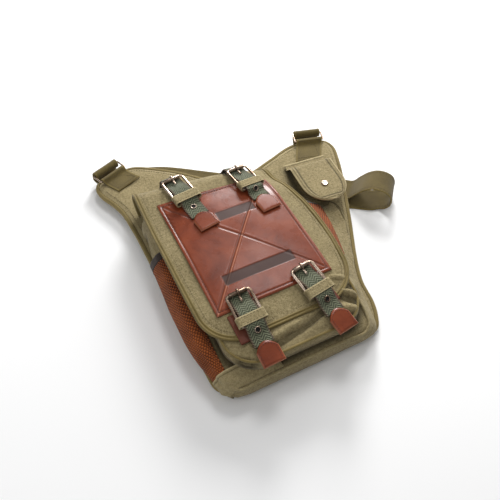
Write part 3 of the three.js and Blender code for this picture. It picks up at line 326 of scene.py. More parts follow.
class Graph:
    """A material and short calls that add nodes to it."""

    def __init__(self, name, **constants):
        self.material = bpy.data.materials.new(name)
        self.material.use_nodes = True
        self.tree = self.material.node_tree
        self.shader = self.tree.nodes["Principled BSDF"]
        for socket, value in constants.items():
            self.shader.inputs[socket.replace("_", " ")].default_value = value
        self.place = self.node("ShaderNodeTexCoord").outputs["Object"]

    def node(self, kind, links=None, values=None, **settings):
        made = self.tree.nodes.new(kind)
        for key, value in settings.items():
            setattr(made, key, value)
        for key, value in (values or {}).items():
            made.inputs[key].default_value = value
        for key, source in (links or {}).items():
            self.tree.links.new(source, made.inputs[key])
        return made

    def math(self, operation, a, b):
        made = self.node("ShaderNodeMath", operation=operation)
        for socket, value in zip(made.inputs, (a, b)):
            if isinstance(value, (int, float)):
                socket.default_value = value
            else:
                self.tree.links.new(value, socket)
        return made.outputs[0]

    def noise(self, scale, detail, roughness=0.5, distortion=0.0):
        return self.node("ShaderNodeTexNoise", {"Vector": self.place},
                         {"Scale": scale, "Detail": detail, "Roughness": roughness,
                          "Distortion": distortion}).outputs["Fac"]

    def wave(self, scale, axis, distortion):
        return self.node("ShaderNodeTexWave", {"Vector": self.place},
                         {"Scale": scale, "Distortion": distortion, "Detail": 1.0},
                         bands_direction=axis, wave_profile="SIN").outputs["Fac"]

    def ramp(self, factor, stops):
        made = self.node("ShaderNodeValToRGB", {"Fac": factor})
        elements = made.color_ramp.elements
        while len(elements) < len(stops):
            elements.new(0.5)
        for element, (position, color) in zip(elements, stops):
            element.position = position
            element.color = color
        return made.outputs["Color"]

    def mix(self, factor, a, b):
        made = self.node("ShaderNodeMix", data_type="RGBA", blend_type="MIX")
        for socket, value in ((made.inputs[0], factor), (made.inputs[6], a), (made.inputs[7], b)):
            if isinstance(value, (int, float, list, tuple)):
                socket.default_value = value
            else:
                self.tree.links.new(value, socket)
        return made.outputs[2]

    def fleck(self, share, base, factor, dark, light):
        """A share of a dark to light ramp, blended into the base."""
        return self.mix(share, base, self.ramp(factor, [(0.3, dark), (0.7, light)]))

    def wear_light_and_shade(self, base, **tones):
        """Blends the base towards each field's tone, by the field's value times a share. The light
        field paints rubbed edges and, on leather, highlights; the dark field paints shade, and on
        the leather panel also the bars' grey print.
        """
        for field, (share, tone) in tones.items():
            amount = self.node("ShaderNodeAttribute", attribute_name=field).outputs["Fac"]
            base = self.mix(self.math("MULTIPLY", amount, share), base, tone)
        return base

    def surface(self):
        """The piece's own coordinates, across and along it, in metres."""
        flat = self.node("ShaderNodeUVMap").outputs["UV"]
        parts = self.node("ShaderNodeSeparateXYZ", {"Vector": flat})
        return parts.outputs["X"], parts.outputs["Y"]

    def stripes(self, place, pitch):
        return self.math("SINE", self.math("MULTIPLY", place, 2 * math.pi / pitch), 0)

    def finish(self, color, height, distance, strength, roughness=None):
        """Links the colour, a bump from the height, and the roughness if it varies."""
        self.tree.links.new(color, self.shader.inputs["Base Color"])
        bump = self.node("ShaderNodeBump", {"Height": height},
                         {"Strength": strength, "Distance": distance})
        self.tree.links.new(bump.outputs["Normal"], self.shader.inputs["Normal"])
        if roughness is not None:
            self.tree.links.new(roughness, self.shader.inputs["Roughness"])
        return self.material


def spread(graph, factor, low, high):
    """The factor mapped from 0 to 1 onto low to high."""
    return graph.node("ShaderNodeMapRange", {"Value": factor},
                      {"To Min": low, "To Max": high}).outputs["Result"]


def cloth(name, dark, light, worn):
    """Washed canvas: blotches, a plain weave, pale rubbed seams and edges, and painted shade in
    hollows and creases.
    """
    graph = Graph(name, Roughness=0.92, Sheen_Weight=0.12, Specular_IOR_Level=0.2)
    blotch = graph.noise(26.0, 5.0, 0.6)
    grain = graph.noise(800.0, 2.0, 0.7)
    weave_scale = 453.33228
    warp, weft = (graph.wave(weave_scale, axis, distortion=0.6) for axis in "XY")
    base = graph.ramp(blotch, [(0.12, dark), (0.70, light)])
    patches = graph.noise(310.0, 4.0, 0.65)
    base = graph.mix(0.40, base, graph.ramp(patches, [(0.32, dark), (0.70, worn)]))
    base = graph.fleck(0.25, base, grain, dark, worn)
    base = graph.wear_light_and_shade(base, worn=(0.75, worn), deep=(0.9, scaled(dark, 0.22)))
    weave, fuzz, pucker = (graph.math("MULTIPLY", layer, share) for layer, share in (
        (graph.math("MAXIMUM", warp, weft), 0.35), (grain, 0.5), (patches, 2.4)))
    height = graph.math("ADD", weave, graph.math("ADD", fuzz, pucker))
    return graph.finish(base, height, distance=0.0007, strength=0.7)


def leather():
    graph = Graph("leather", Roughness=0.30, Specular_IOR_Level=0.24)
    dark, mid, light = linear(90, 38, 21), linear(122, 57, 33), linear(140, 72, 44)
    blotch = graph.noise(24.0, 6.0, 0.65, distortion=0.6)
    grain = graph.node("ShaderNodeTexVoronoi", {"Vector": graph.place},
                       {"Scale": 700.0}).outputs["Distance"]
    base = graph.ramp(blotch, [(0.25, dark), (0.5, mid), (0.8, light)])
    # The pale tone paints highlights on the panel's ridge and edges and on the tips' edges; the
    # grey tone is the bars' print and painted shade in creases and on the tabs.
    base = graph.wear_light_and_shade(base, worn=(0.9, linear(200, 138, 108)), deep=(0.85, linear(58, 50, 47)))
    height = graph.math("ADD", graph.math("MULTIPLY", grain, 0.5), graph.noise(90.0, 4.0))
    rough = spread(graph, graph.noise(60.0, 4.0), 0.18, 0.38)
    deep = graph.node("ShaderNodeAttribute", attribute_name="deep").outputs["Fac"]
    rough = graph.math("ADD", rough, graph.math("MULTIPLY", deep, 0.3))
    return graph.finish(base, height, distance=0.00012, strength=0.5, roughness=rough)


def webbing():
    """Herringbone webbing, with brown-maroon edges and a near-black tone for painted shade."""
    graph = Graph("webbing", Roughness=0.85, Sheen_Weight=0.15, Specular_IOR_Level=0.25)
    across, along = graph.surface()
    column, pitch = 0.0050, 0.0036
    zigzag = graph.node("ShaderNodeMath", {0: across}, {1: column}, operation="PINGPONG")
    stripe = graph.stripes(graph.math("ADD", along, zigzag.outputs[0]), pitch)
    dark, light = linear(52, 56, 42), linear(138, 142, 114)
    base = graph.mix(spread(graph, stripe, 0.0, 0.85), dark, light)
    base = graph.fleck(0.3, base, graph.noise(700.0, 2.0), dark, light)
    base = graph.wear_light_and_shade(base, worn=(0.85, linear(92, 66, 54)), deep=(0.8, linear(24, 26, 20)))
    return graph.finish(base, stripe, distance=0.0005, strength=0.7)


def knit():
    """Coarse knitted mesh: small cells in offset rows, the gaps between them painted dark as shade,
    and a darker tone for painted shade.
    """
    graph = Graph("mesh", Roughness=0.85, Sheen_Weight=0.08, Specular_IOR_Level=0.15)
    across, along = graph.surface()
    cell_width, cell_length = 0.0034, 0.0026
    row = graph.math("DIVIDE", along, cell_length)
    offset = graph.math("MULTIPLY", graph.math("FLOOR", row, 0), cell_width / 2)
    rib = graph.stripes(graph.math("ADD", across, offset), cell_width)
    loop = graph.math("SINE", graph.math("MULTIPLY", graph.math("FRACT", row, 0), math.pi), 0)
    cells = graph.math("MULTIPLY", spread(graph, graph.math("ADD", rib, 0.6), 0.0, 1.0), loop)
    height = graph.math("ADD", cells, graph.math("MULTIPLY", graph.noise(500.0, 2.0), 0.4))
    dark, light = linear(66, 30, 14), linear(190, 104, 52)
    base = graph.fleck(0.3, graph.mix(cells, dark, light), graph.noise(40.0, 4.0), dark, light)
    base = graph.wear_light_and_shade(base, deep=(0.8, linear(34, 18, 12)))
    return graph.finish(base, height, distance=0.0009, strength=0.9)


def ribbed(name, dark, light, pitch):
    """Elastic or tape with fine cross ribs, paler rubbed edges and a dark tone for painted shade.
    """
    graph = Graph(name, Roughness=0.85, Sheen_Weight=0.15, Specular_IOR_Level=0.25)
    rib = graph.stripes(graph.surface()[1], pitch)
    base = graph.mix(spread(graph, rib, 0.2, 0.6), dark, light)
    base = graph.fleck(0.4, base, graph.noise(600.0, 3.0), dark, light)
    base = graph.fleck(0.35, base, graph.noise(30.0, 5.0), dark, light)
    base = graph.wear_light_and_shade(base, worn=(0.6, scaled(light, 1.35)), deep=(0.8, scaled(dark, 0.2)))
    return graph.finish(base, rib, distance=0.0003, strength=0.5)


def metal():
    graph = Graph("metal", Metallic=1.0, Roughness=0.3)
    tone = graph.noise(45.0, 1.0, 0.4)
    scratch = graph.noise(900.0, 3.0, 0.7)
    base = graph.ramp(tone, [(0.3, linear(120, 100, 84)), (0.5, linear(170, 150, 132)),
                             (0.75, linear(214, 198, 182))])
    rough = spread(graph, scratch, 0.20, 0.34)
    return graph.finish(base, scratch, distance=0.00002, strength=0.3, roughness=rough)


def plain(name, color, roughness):
    """Thread and other tiny things: one tone with slight variation."""
    graph = Graph(name, Roughness=roughness)
    base = graph.mix(graph.noise(300.0, 2.0), color, scaled(color, 0.55))
    return graph.finish(base, graph.noise(900.0, 2.0), distance=0.0001, strength=0.4)


MATERIALS = {
    "canvas": cloth("canvas", linear(82, 70, 40), linear(148, 133, 93), linear(202, 185, 142)),
    "binding": ribbed("binding", linear(98, 84, 46), linear(148, 130, 80), 0.0012),
    "leather": leather(),
    "webbing": webbing(),
    "strap_webbing": ribbed("strap_webbing", linear(72, 60, 30), linear(122, 106, 58), 0.0016),
    "mesh": knit(),
    "elastic": ribbed("elastic", linear(40, 32, 29), linear(78, 66, 60), 0.0018),
    "metal": metal(),
    "thread": plain("thread", linear(98, 86, 56), 0.8),
    "leather_thread": plain("leather_thread", linear(78, 36, 28), 0.6),
    # A near-black tone for the eyelets' holes: painted shade.
    "hole_shade": plain("hole_shade", linear(12, 10, 9), 0.9),
}


# Shapes: numbers first, then meshes

def smoothstep(value, low, high):
    share = np.clip((np.asarray(value, float) - low) / (high - low), 0, 1)
    return share * share * (3 - 2 * share)


def lerp(a, b, share):
    return a + (b - a) * share


def bell(value, middle, half):
    """1 at the middle, falling smoothly to 0 at half away from it."""
    return 1 - smoothstep(np.abs(np.asarray(value, float) - middle), 0, half)


def follow(table, at, column):
    """A column of a table at places along it, on a smooth curve through its rows."""
    xs, ys = np.array(table["at"]), np.array(table[column])
    at = np.asarray(at, float)
    last = len(xs) - 1
    i = np.clip(np.searchsorted(xs, at, side="right") - 1, 0, last - 1)
    row = np.arange(last + 1)
    before, after = np.maximum(row - 1, 0), np.minimum(row + 1, last)
    slope = (ys[after] - ys[before]) / (xs[after] - xs[before])
    span = xs[i + 1] - xs[i]
    t = np.clip((at - xs[i]) / span, 0, 1)
    rest = 1 - t
    return (rest ** 2 * (1 + 2 * t) * ys[i] + t ** 2 * (3 - 2 * t) * ys[i + 1]
            + t * rest ** 2 * span * slope[i] - t ** 2 * rest * span * slope[i + 1])


def points(x, y, z):
    return np.stack(np.broadcast_arrays(*(np.asarray(c, float) for c in (x, y, z))), -1)


def unit(vectors):
    return vectors / np.maximum(np.linalg.norm(vectors, axis=-1, keepdims=True), 1e-9)


def smooth_curve(corners, count, closed=False):
    """Points on a centripetal curve through corners."""
    corners = np.asarray(corners, float)
    total = len(corners) if closed else len(corners) - 1
    t = np.linspace(0, total, count, endpoint=not closed)
    i = np.minimum(t.astype(int), total - 1)
    share = (t - i)[:, None]

    def corner(index):
        if closed:
            return corners[index % len(corners)]
        low, high = corners[0] * 2 - corners[1], corners[-1] * 2 - corners[-2]
        padded = np.vstack([low, corners, high])
        return padded[index + 1]

    p0, p1, p2, p3 = (corner(i + k) for k in (-1, 0, 1, 2))
    d0, d1, d2 = (np.maximum(np.linalg.norm(b - a, axis=-1, keepdims=True), 1e-6) ** 0.5
                  for a, b in ((p0, p1), (p1, p2), (p2, p3)))
    m1 = d1 * ((p1 - p0) / d0 - (p2 - p0) / (d0 + d1) + (p2 - p1) / d1)
    m2 = d1 * ((p2 - p1) / d1 - (p3 - p1) / (d1 + d2) + (p3 - p2) / d2)
    rest = 1 - share
    return (rest ** 2 * (1 + 2 * share) * p1 + share ** 2 * (3 - 2 * share) * p2
            + share * rest ** 2 * m1 - share ** 2 * rest * m2)


def travelled(path):
    """Each point's distance from the start of a polyline, along it."""
    return np.concatenate([[0], np.cumsum(np.linalg.norm(np.diff(path, axis=0), axis=1))])


def resample(path, spacing):
    """Points at equal spacing along a polyline."""
    lengths = travelled(path)
    at = np.linspace(0, lengths[-1], max(int(lengths[-1] / spacing), 2) + 1)
    return np.stack([np.interp(at, lengths, path[:, k]) for k in range(path.shape[1])], -1)


def closed_loop(corners, spacing):
    """Points at equal spacing round a closed loop."""
    return resample(np.vstack([corners, corners[:1]]), spacing)[:-1]


def loop_ahead(loop):
    return unit(np.roll(loop, -1, 0) - np.roll(loop, 1, 0))


def loop_normals(loop):
    """The normals of a closed flat loop, to the right of the way along it."""
    ahead = loop_ahead(loop)
    return np.stack([ahead[:, 1], -ahead[:, 0]], -1)


def edged(low, high, count):
    """Places from low to high, closer together at both ends."""
    return np.concatenate([[low, low + 0.4, low + 1.0], np.linspace(low + 2, high - 2, count),
                           [high - 1.0, high - 0.4, high]])


def mesh(name, vertices, faces, slot, uvs=None, material=None, **fields):
    """A piece from vertices in the bag's frame. uvs and fields have a value for each vertex."""
    data = bpy.data.meshes.new(name)
    data.from_pydata((np.asarray(vertices) * MM + ORIGIN).tolist(), [], faces)
    data.shade_smooth()
    if uvs is not None:
        layer = data.uv_layers.new(name="UVMap")
        corner = np.zeros(len(data.loops), int)
        data.loops.foreach_get("vertex_index", corner)
        layer.data.foreach_set("uv", (np.asarray(uvs)[corner] * MM).ravel())
    for field, values in fields.items():
        layer = data.attributes.new(field, "FLOAT", "POINT")
        layer.data.foreach_set("value", np.clip(np.asarray(values, float).ravel(), 0, 1))
    data.materials.append(MATERIALS[material or slot])
    made = bpy.data.objects.new(name, data)
    bpy.context.scene.collection.objects.link(made)
    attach(made, BODY)
    return made


def rounded_section(width, thickness, across, corner=None, rounding=4):
    """A closed section of a strap or sheet: (side, height) from its lower middle."""
    corner = thickness * 0.48 if corner is None else corner
    half, top = width / 2 - corner, thickness
    upper = [(x, top) for x in np.linspace(-half, half, across)]
    angles = np.linspace(math.pi / 2, -math.pi / 2, rounding * 2 + 1)[1:-1]
    lift_by = thickness / 2

    def end(sign):
        return [(sign * (half + corner * math.cos(a)), lift_by + lift_by * math.sin(a))
                for a in angles]

    lower = [(x, 0.0) for x in np.linspace(half, -half, across)]
    return np.array(upper + end(1) + lower + end(-1)[::-1])


def grid_faces(rows, columns, closed=False):
    """Faces between rows of points, each row a ring. The ends are capped, or joined if closed."""
    faces = []
    for r in range(rows if closed else rows - 1):
        for c in range(columns):
            a, b = r * columns + c, r * columns + (c + 1) % columns
            up = ((r + 1) % rows) * columns
            faces.append((a, b, up + (c + 1) % columns, up + c))
    if not closed:
        faces.append(tuple(reversed(range(columns))))
        faces.append(tuple((rows - 1) * columns + c for c in range(columns)))
    return faces


def outward(vertices, faces):
    """The faces, turned round if they point inward."""
    v = np.asarray(vertices)
    total = 0.0
    for face in faces:
        for k in range(1, len(face) - 1):
            a, b, c = v[face[0]], v[face[k]], v[face[k + 1]]
            total += a[0] * (b[1] * c[2] - b[2] * c[1]) + a[1] * (b[2] * c[0] - b[0] * c[2]) \
                + a[2] * (b[0] * c[1] - b[1] * c[0])
    return faces if total > 0 else [tuple(reversed(f)) for f in faces]


def ring_mesh(name, where, slot, closed=False, **more):
    """A piece through rows of points, each row a ring."""
    rows, columns = where.shape[:2]
    vertices = where.reshape(-1, 3)
    return mesh(name, vertices, outward(vertices, grid_faces(rows, columns, closed)), slot, **more)


def sweep(name, section, along, place, slot, closed=False, worn_edge=0.0, fields=None):
    """A closed piece through sections: place(side, along, height) gives each point."""
    side, height = section[:, 0], section[:, 1]
    v = np.asarray(along, float)[:, None]
    where = place(side[None, :] + 0 * v, v + 0 * side[None, :], height[None, :] + 0 * v)
    size = where.shape[:2]
    uvs = np.stack([np.broadcast_to(side, size),
                    np.broadcast_to(travelled(where[:, 0])[:, None], size)], -1).reshape(-1, 2)
    half = np.abs(side).max()
    worn = smoothstep(np.abs(side), half - worn_edge, half) if worn_edge else 0 * side
    values = {"worn": np.broadcast_to(worn, size)}
    for field, given in (fields or {}).items():
        values[field] = given(side[None, :] + 0 * v, v + 0 * side[None, :])
    return ring_mesh(name, where, slot, closed, uvs=uvs, **values)


TUBE_WORN = 0.2


def tube(name, path, radius, slot, sides=10, closed=False, flat=1.0, material=None):
    """A round or flattened wire along a path."""
    path = np.asarray(path, float)
    ahead = loop_ahead(path) if closed else unit(np.gradient(path, axis=0))
    side = np.cross(ahead, [0.0, 0.0, 1.0])
    weak = np.linalg.norm(side, axis=1) < 0.2
    side[weak] = np.cross(ahead[weak], [1.0, 0.0, 0.0])
    side = unit(side)
    up = np.cross(side, ahead)
    angles = np.linspace(0, 2 * math.pi, sides, endpoint=False)
    ring = (side[:, None] * np.cos(angles)[None, :, None] * radius
            + up[:, None] * np.sin(angles)[None, :, None] * radius * flat)
    uvs = np.stack([np.tile(angles * radius, len(path)), np.repeat(travelled(path), sides)], -1)
    return ring_mesh(name, path[:, None] + ring, slot, closed, uvs=uvs, material=material,
                     worn=np.full(len(uvs), TUBE_WORN))


# Sections of a stitch: places as shares of its length, thicknesses as shares of its radius
STITCH_SECTIONS = [(-0.5, 0.25), (-0.3, 0.8), (0.3, 0.8), (0.5, 0.25)]
STITCH_SIDES = 4
ASKEW = [0.05, 0.1, 1.0]


def stitches(name, paths, slot, material="thread", length=2.6, gap=1.1, radius=0.42):
    """Short raised threads along paths, joined in one piece."""
    vertices, faces = [], []
    ring = grid_faces(len(STITCH_SECTIONS), STITCH_SIDES)
    for path in paths:
        line = resample(np.asarray(path, float), (length + gap) / 2)
        for start in range(0, len(line) - 1, 2):
            a, b = line[start], line[start + 1]
            ahead = unit(b - a)
            side = unit(np.cross(ahead, ASKEW))
            up = np.cross(side, ahead)
            base = len(vertices)
            for along, thick in STITCH_SECTIONS:
                middle = (a + b) / 2 + ahead * along * length
                for k in range(STITCH_SIDES):
                    angle = (k + 0.5) * 2 * math.pi / STITCH_SIDES
                    vertices.append(middle + (side * math.cos(angle) + up * math.sin(angle))
                                    * radius * thick)
            faces += [tuple(base + i for i in f) for f in ring]
    first = faces[:len(ring)]
    if outward(vertices, first) is not first:
        faces = [tuple(reversed(f)) for f in faces]
    return mesh(name, vertices, faces, slot, material=material)


def lathe(name, profile, seat, slot, sides=24, closed=True, material=None):
    """A turned piece from (radius, height) pairs, its axis out of the seat's XY plane."""
    angles = np.linspace(0, 2 * math.pi, sides, endpoint=False)
    rows = np.array([[(r * math.cos(a), r * math.sin(a), h) for a in angles] for r, h in profile])
    return ring_mesh(name, rows @ seat[:3, :3].T + seat[:3, 3], slot, closed, material=material)


# The back

def lift(y):
    return BACK_LIFT * smoothstep(y, 0.28 * BACK_LENGTH, 0.58 * BACK_LENGTH)


def back_place(place, z=0.0):
    at, out = (place["at"], place["out"]) if isinstance(place, dict) else place[:2]
    return np.array([out * BACK_HALF_WIDTH, at * BACK_LENGTH, z])


def back_outline(inset, count=240):
    corners = [back_place(row)[:2] for row in BACK_OUTLINE]
    curve = smooth_curve(corners, count, closed=True)
    return curve + inset * loop_normals(curve)


def back_wrinkles(x, y):
    """Shallow creases of the padded ears, in millimetres."""
    left = np.sin(0.10 * x + 0.16 * y) * smoothstep(y, 300, 360) * smoothstep(-x, 20, 70)
    right = np.sin(0.16 * x - 0.07 * y + 1.0) * smoothstep(x, 110, 150)
    return 0.7 * left + 0.6 * right


def line_distance(x, y, line):
    """Distance of each spot from a polyline."""
    line = np.array(line, float)
    return np.min([segment_place(x, y, a, b)[1] for a, b in zip(line[:-1], line[1:])], 0)


def segment_place(x, y, a, b):
    """Each spot's share of the way from a to b, and its distance from the segment."""
    ab = b - a
    share = np.clip(((x - a[0]) * ab[0] + (y - a[1]) * ab[1]) / (ab ** 2).sum(), 0, 1)
    return share, np.hypot(x - a[0] - share * ab[0], y - a[1] - share * ab[1])


# Where the small flap keeps the light off the right ear
EAR_SHADE = {"line": [(134, 276), (127, 240), (124, 208), (138, 186), (160, 180)], "wide": 13.0,
             "deep": 0.8}
BACK_STEP = 5.0
# The padding: how far in it is fully puffed, how fast it rises, and half its thickness at the edge
PUFF_WIDE, PUFF_POWER, EDGE_HALF = 16, 2.4, 1.2
STITCH_OUT = 0.1


def puff_share(inset):
    """0 at the back's edge, 1 where the padding is fully puffed."""
    return 1 - (1 - np.clip(inset / PUFF_WIDE, 0, 1)) ** PUFF_POWER


def puffed_top(puff):
    middle = BACK_THICKNESS / 2
    return middle + EDGE_HALF + (middle - EDGE_HALF) * puff


def add_back_panel():
    edge = back_outline(1.0, 200)
    step = BACK_STEP
    low, high = edge.min(0), edge.max(0)
    xs, ys = np.meshgrid(np.arange(low[0], high[0], step), np.arange(low[1], high[1], step))
    inner = np.stack([xs.ravel() + step / 2 * (np.arange(xs.size) // xs.shape[1] % 2),
                      ys.ravel()], -1)
    distance, inside = edge_distance(inner, edge)
    inner = inner[inside & (distance > step * 0.6)]
    flat = np.vstack([edge, inner])
    rim = [(i, (i + 1) % len(edge)) for i in range(len(edge))]
    made = geometry.delaunay_2d_cdt([Vector(p) for p in flat], rim, [], 1, 1e-4)
    spots = np.array([tuple(p) for p in made[0]])
    faces = [tuple(f) for f in made[2]]
    puff = puff_share(edge_distance(spots, edge)[0])
    ground = lift(spots[:, 1])
    x, y = spots[:, 0], spots[:, 1]
    under_body = smoothstep(y, 230, 275)
    top = puffed_top(puff) + back_wrinkles(x, y) * puff * under_body
    flat_half = BACK_THICKNESS / 2 - EDGE_HALF
    base = flat_half - flat_half * puff ** 0.5
    count = len(spots)
    vertices = np.vstack([points(x, y, ground + top), points(x, y, ground + base)])
    # outline vertices are shared by both sides through a short wall
    walls = [(a, b, b + count, a + count) for a, b in boundary(faces)]
    faces = faces + [tuple(reversed([i + count for i in f])) for f in faces] + walls
    worn = np.tile(0.35 * (1 - puff), 2)
    shade = EAR_SHADE["deep"] * bell(line_distance(x, y, EAR_SHADE["line"]), 0, EAR_SHADE["wide"])
    panel = mesh("back", vertices, outward(vertices, faces), "canvas", worn=worn,
                 deep=np.concatenate([shade, 0 * shade]))
    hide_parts("back_panel")


def add_back_binding():
    section = rounded_section(BINDING_WIDTH + 1.5, BINDING_THICKNESS, 5, corner=3.0)
    path = back_outline(0.0, 300)
    inward = loop_normals(path)
    start = (BACK_THICKNESS - BINDING_THICKNESS) / 2

    def place(side, along, height):
        i = along.astype(int) % len(path)
        spot = path[i] + inward[i] * (side + section[:, 0].max())[..., None]
        return points(spot[..., 0], spot[..., 1], lift(spot[..., 1]) + start + height)

    tape = sweep("back_edge", section, np.arange(len(path)), place, "binding", closed=True,
                 worn_edge=1.5)
    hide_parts("back_binding")
    lines = []
    for inset in (BINDING_WIDTH - 0.5, BINDING_WIDTH + 5.0):
        line = back_outline(inset, 400)
        on_tape = inset < BINDING_WIDTH
        top = BINDING_THICKNESS + start if on_tape else puffed_top(puff_share(inset))
        lines.append(points(line[:, 0], line[:, 1], lift(line[:, 1]) + top + STITCH_OUT))
    stitches("back_stitches", lines, "binding")


def boundary(faces):
    """Edges of the faces that only one of them uses, in that face's direction."""
    seen = set()
    for f in faces:
        seen.update((f[k], f[(k + 1) % len(f)]) for k in range(len(f)))
    return [(a, b) for a, b in seen if (b, a) not in seen]


def edge_distance(spots, edge):
    """The distance of each spot to a closed outline, and whether it lies inside."""
    a, b = edge, np.roll(edge, -1, 0)
    ab = b - a
    t = np.clip(((spots[:, None] - a) * ab).sum(-1) / (ab ** 2).sum(-1), 0, 1)
    distance = np.linalg.norm(spots[:, None] - a - t[..., None] * ab, axis=-1).min(1)
    crosses = (a[:, 1] > spots[:, None, 1]) != (b[:, 1] > spots[:, None, 1])
    rise = np.where(ab[:, 1] == 0, 1e-9, ab[:, 1])
    at = a[:, 0] + (spots[:, None, 1] - a[:, 1]) * ab[:, 0] / rise
    inside = (crosses & (spots[:, None, 0] < at)).sum(1) % 2 == 1
    return distance, inside


# The front surface: across, along and a distance out from the front pocket's outer face

def crest(along):
    return FRONT_HEIGHT * follow(CREST, np.asarray(along) / FRONT_LENGTH, "rise")


CREST_END = float(crest(FRONT_LENGTH))
FLAP_END_COSINE = math.cos(math.radians(180 - ROLL_TURN))
ROLL_RADIUS = (CREST_END - BACK_TOP - BACK_LIFT - 2 * LAYER_GAP
               - FLAP_END_COSINE * FLAP_TOP) / (1 + FLAP_END_COSINE)
FLAP_END = FRONT_LENGTH + ROLL_RADIUS * math.radians(ROLL_TURN)


def side_drop(across, along):
    out = np.minimum(np.abs(across) / FRONT_HALF_WIDTH, 1.1)
    sag = smoothstep(across, 0.3 * FRONT_HALF_WIDTH, FRONT_HALF_WIDTH) \
        * smoothstep(along, 0.75 * FRONT_LENGTH, FRONT_LENGTH)
    return SIDE_DROP * out ** 2.6 + CORNER_SAG * sag


def front(across, along, out):
    across, along, out = np.broadcast_arrays(*(np.asarray(c, float) for c in (across, along, out)))
    slant = TOP_SLANT * across * smoothstep(along, 0.82 * FRONT_LENGTH, 1.04 * FRONT_LENGTH)
    turn = np.maximum(along - FRONT_LENGTH, 0) / ROLL_RADIUS
    height = out - side_drop(across, along) * np.maximum(np.cos(turn), 0)
    step = 0.5
    slope = (crest(along + step) - crest(along - step)) / (2 * step)
    size = np.sqrt(1 + slope ** 2)
    plain_y = along - slant - slope / size * height
    plain_z = crest(along) + height / size
    radius = ROLL_RADIUS + height
    roll_y = FRONT_LENGTH + radius * np.sin(turn) - slant
    roll_z = CREST_END - ROLL_RADIUS + radius * np.cos(turn)
    rolled = turn > 0
    return points(across, np.where(rolled, roll_y, plain_y), np.where(rolled, roll_z, plain_z))


# The body

def section_ring(y, corners, front_height, corner_steps=3, finer=1):
    """A ring in an XZ section: corners are dicts of x, z, round, splits and an optional bulge."""
    ring = []
    for i, corner in enumerate(corners):
        before, after = corners[i - 1], corners[(i + 1) % len(corners)]
        here = np.array([corner["x"], corner["z"]])
        last, following = (np.array([c["x"], c["z"]]) for c in (before, after))
        start = here + unit(last - here) * corner["round"]
        end = here + unit(following - here) * corner["round"]
        for t in np.linspace(0, 1, corner_steps + 1):
            ring.append((1 - t) ** 2 * start + 2 * t * (1 - t) * here + t * t * end)
        stop = following + unit(here - following) * after["round"]
        splits = corner["splits"] * finer
        for t in np.linspace(0, 1, splits + 1)[1:-1]:
            p = lerp(end, stop, t)
            if corner.get("front"):
                p[1] = lerp(p[1], front_height(p[0]), math.sin(math.pi * t) ** 0.3)
            normal = unit(np.array([stop[1] - end[1], end[0] - stop[0]]))
            p = p - normal * corner.get("bulge", 0) * math.sin(math.pi * t)
            ring.append(p)
    ring = np.array(ring)
    return points(ring[:, 0], y, ring[:, 1])


def body_front(x, y):
    under = 1 - smoothstep(y, POCKET_LENGTH, POCKET_LENGTH + 2 * POCKET_DEPTH)
    return front(x, y, 0)[..., 2] - POCKET_DEPTH * under - LAYER_GAP


def body_ring(at, corner_steps=3, finer=1):
    y = at * FRONT_LENGTH
    base = BACK_TOP + float(lift(y)) + LAYER_GAP
    left, right, wide, rise, sag = (float(follow(BODY_SECTIONS, at, c))
                                    for c in ("left", "right", "front", "rise", "sag"))
    edge = wide * FRONT_HALF_WIDTH

    def top(x):
        return lerp(base, float(body_front(x, y)), rise)

    return section_ring(y, [
        {"x": right * BACK_HALF_WIDTH, "z": base, "round": 4, "splits": 4},
        {"x": left * BACK_HALF_WIDTH, "z": base, "round": 4, "splits": 4, "bulge": GUSSET_BULGE},
        {"x": -edge, "z": top(-edge), "round": 7, "splits": 9, "front": True},
        {"x": edge, "z": top(edge), "round": 7, "splits": 5, "bulge": -GUSSET_SAG * sag},
    ], top, corner_steps, finer)


def ring_normals(ring):
    ahead = np.roll(ring, -1, 0) - np.roll(ring, 1, 0)
    ahead[:, 1] = 0
    ahead = unit(ahead)
    return points(-ahead[:, 2], 0, ahead[:, 0])


MIDDLE_RING = body_ring(0.4)
OUTWARD_SIGN = float(np.sign((ring_normals(MIDDLE_RING)
                              * (MIDDLE_RING - MIDDLE_RING.mean(0))).sum()))

# Folds of the gussets: u runs along the bag as a share of the front's length, v round the body's
# ring from its right lower edge, both from 0 to 1. wide is the fold's half width along the bag,
# lean how far it moves along the bag across its length.
BODY_FOLDS = [
    {"u": 0.86, "v": 0.20, "long": 0.14, "wide": 0.020, "lean": 0.05, "depth": 4.2},
    {"u": 0.78, "v": 0.20, "long": 0.14, "wide": 0.018, "lean": 0.06, "depth": -3.1},
    {"u": 0.93, "v": 0.22, "long": 0.12, "wide": 0.018, "lean": -0.03, "depth": 3.4},
    {"u": 0.80, "v": 0.88, "long": 0.12, "wide": 0.022, "lean": -0.06, "depth": 4.8},
    {"u": 0.72, "v": 0.90, "long": 0.11, "wide": 0.018, "lean": 0.05, "depth": 3.6},
    {"u": 0.62, "v": 0.88, "long": 0.12, "wide": 0.020, "lean": 0.05, "depth": -2.8},
    {"u": 0.30, "v": 0.86, "long": 0.12, "wide": 0.018, "lean": -0.04, "depth": 2.8},
    {"u": 0.16, "v": 0.86, "long": 0.12, "wide": 0.022, "lean": 0.05, "depth": 3.4},
    {"u": 0.05, "v": 0.62, "long": 0.16, "wide": 0.014, "lean": 0.02, "depth": 2.2},
    {"u": 0.02, "v": 0.45, "long": 0.14, "wide": 0.012, "lean": -0.02, "depth": 2.0},
    {"u": 0.010, "v": 0.52, "long": 0.06, "wide": 0.014, "lean": 0.012, "depth": 5.0},
]


def fold_depth(folds, u, v):
    total = 0 * u
    for fold in folds:
        place = fold["u"] + fold["lean"] * (v - fold["v"]) / fold["long"]
        total = total + fold["depth"] * bell(u, place, 2.4 * fold["wide"]) ** 1.5 \
            * bell(v, fold["v"], fold["long"])
    return total


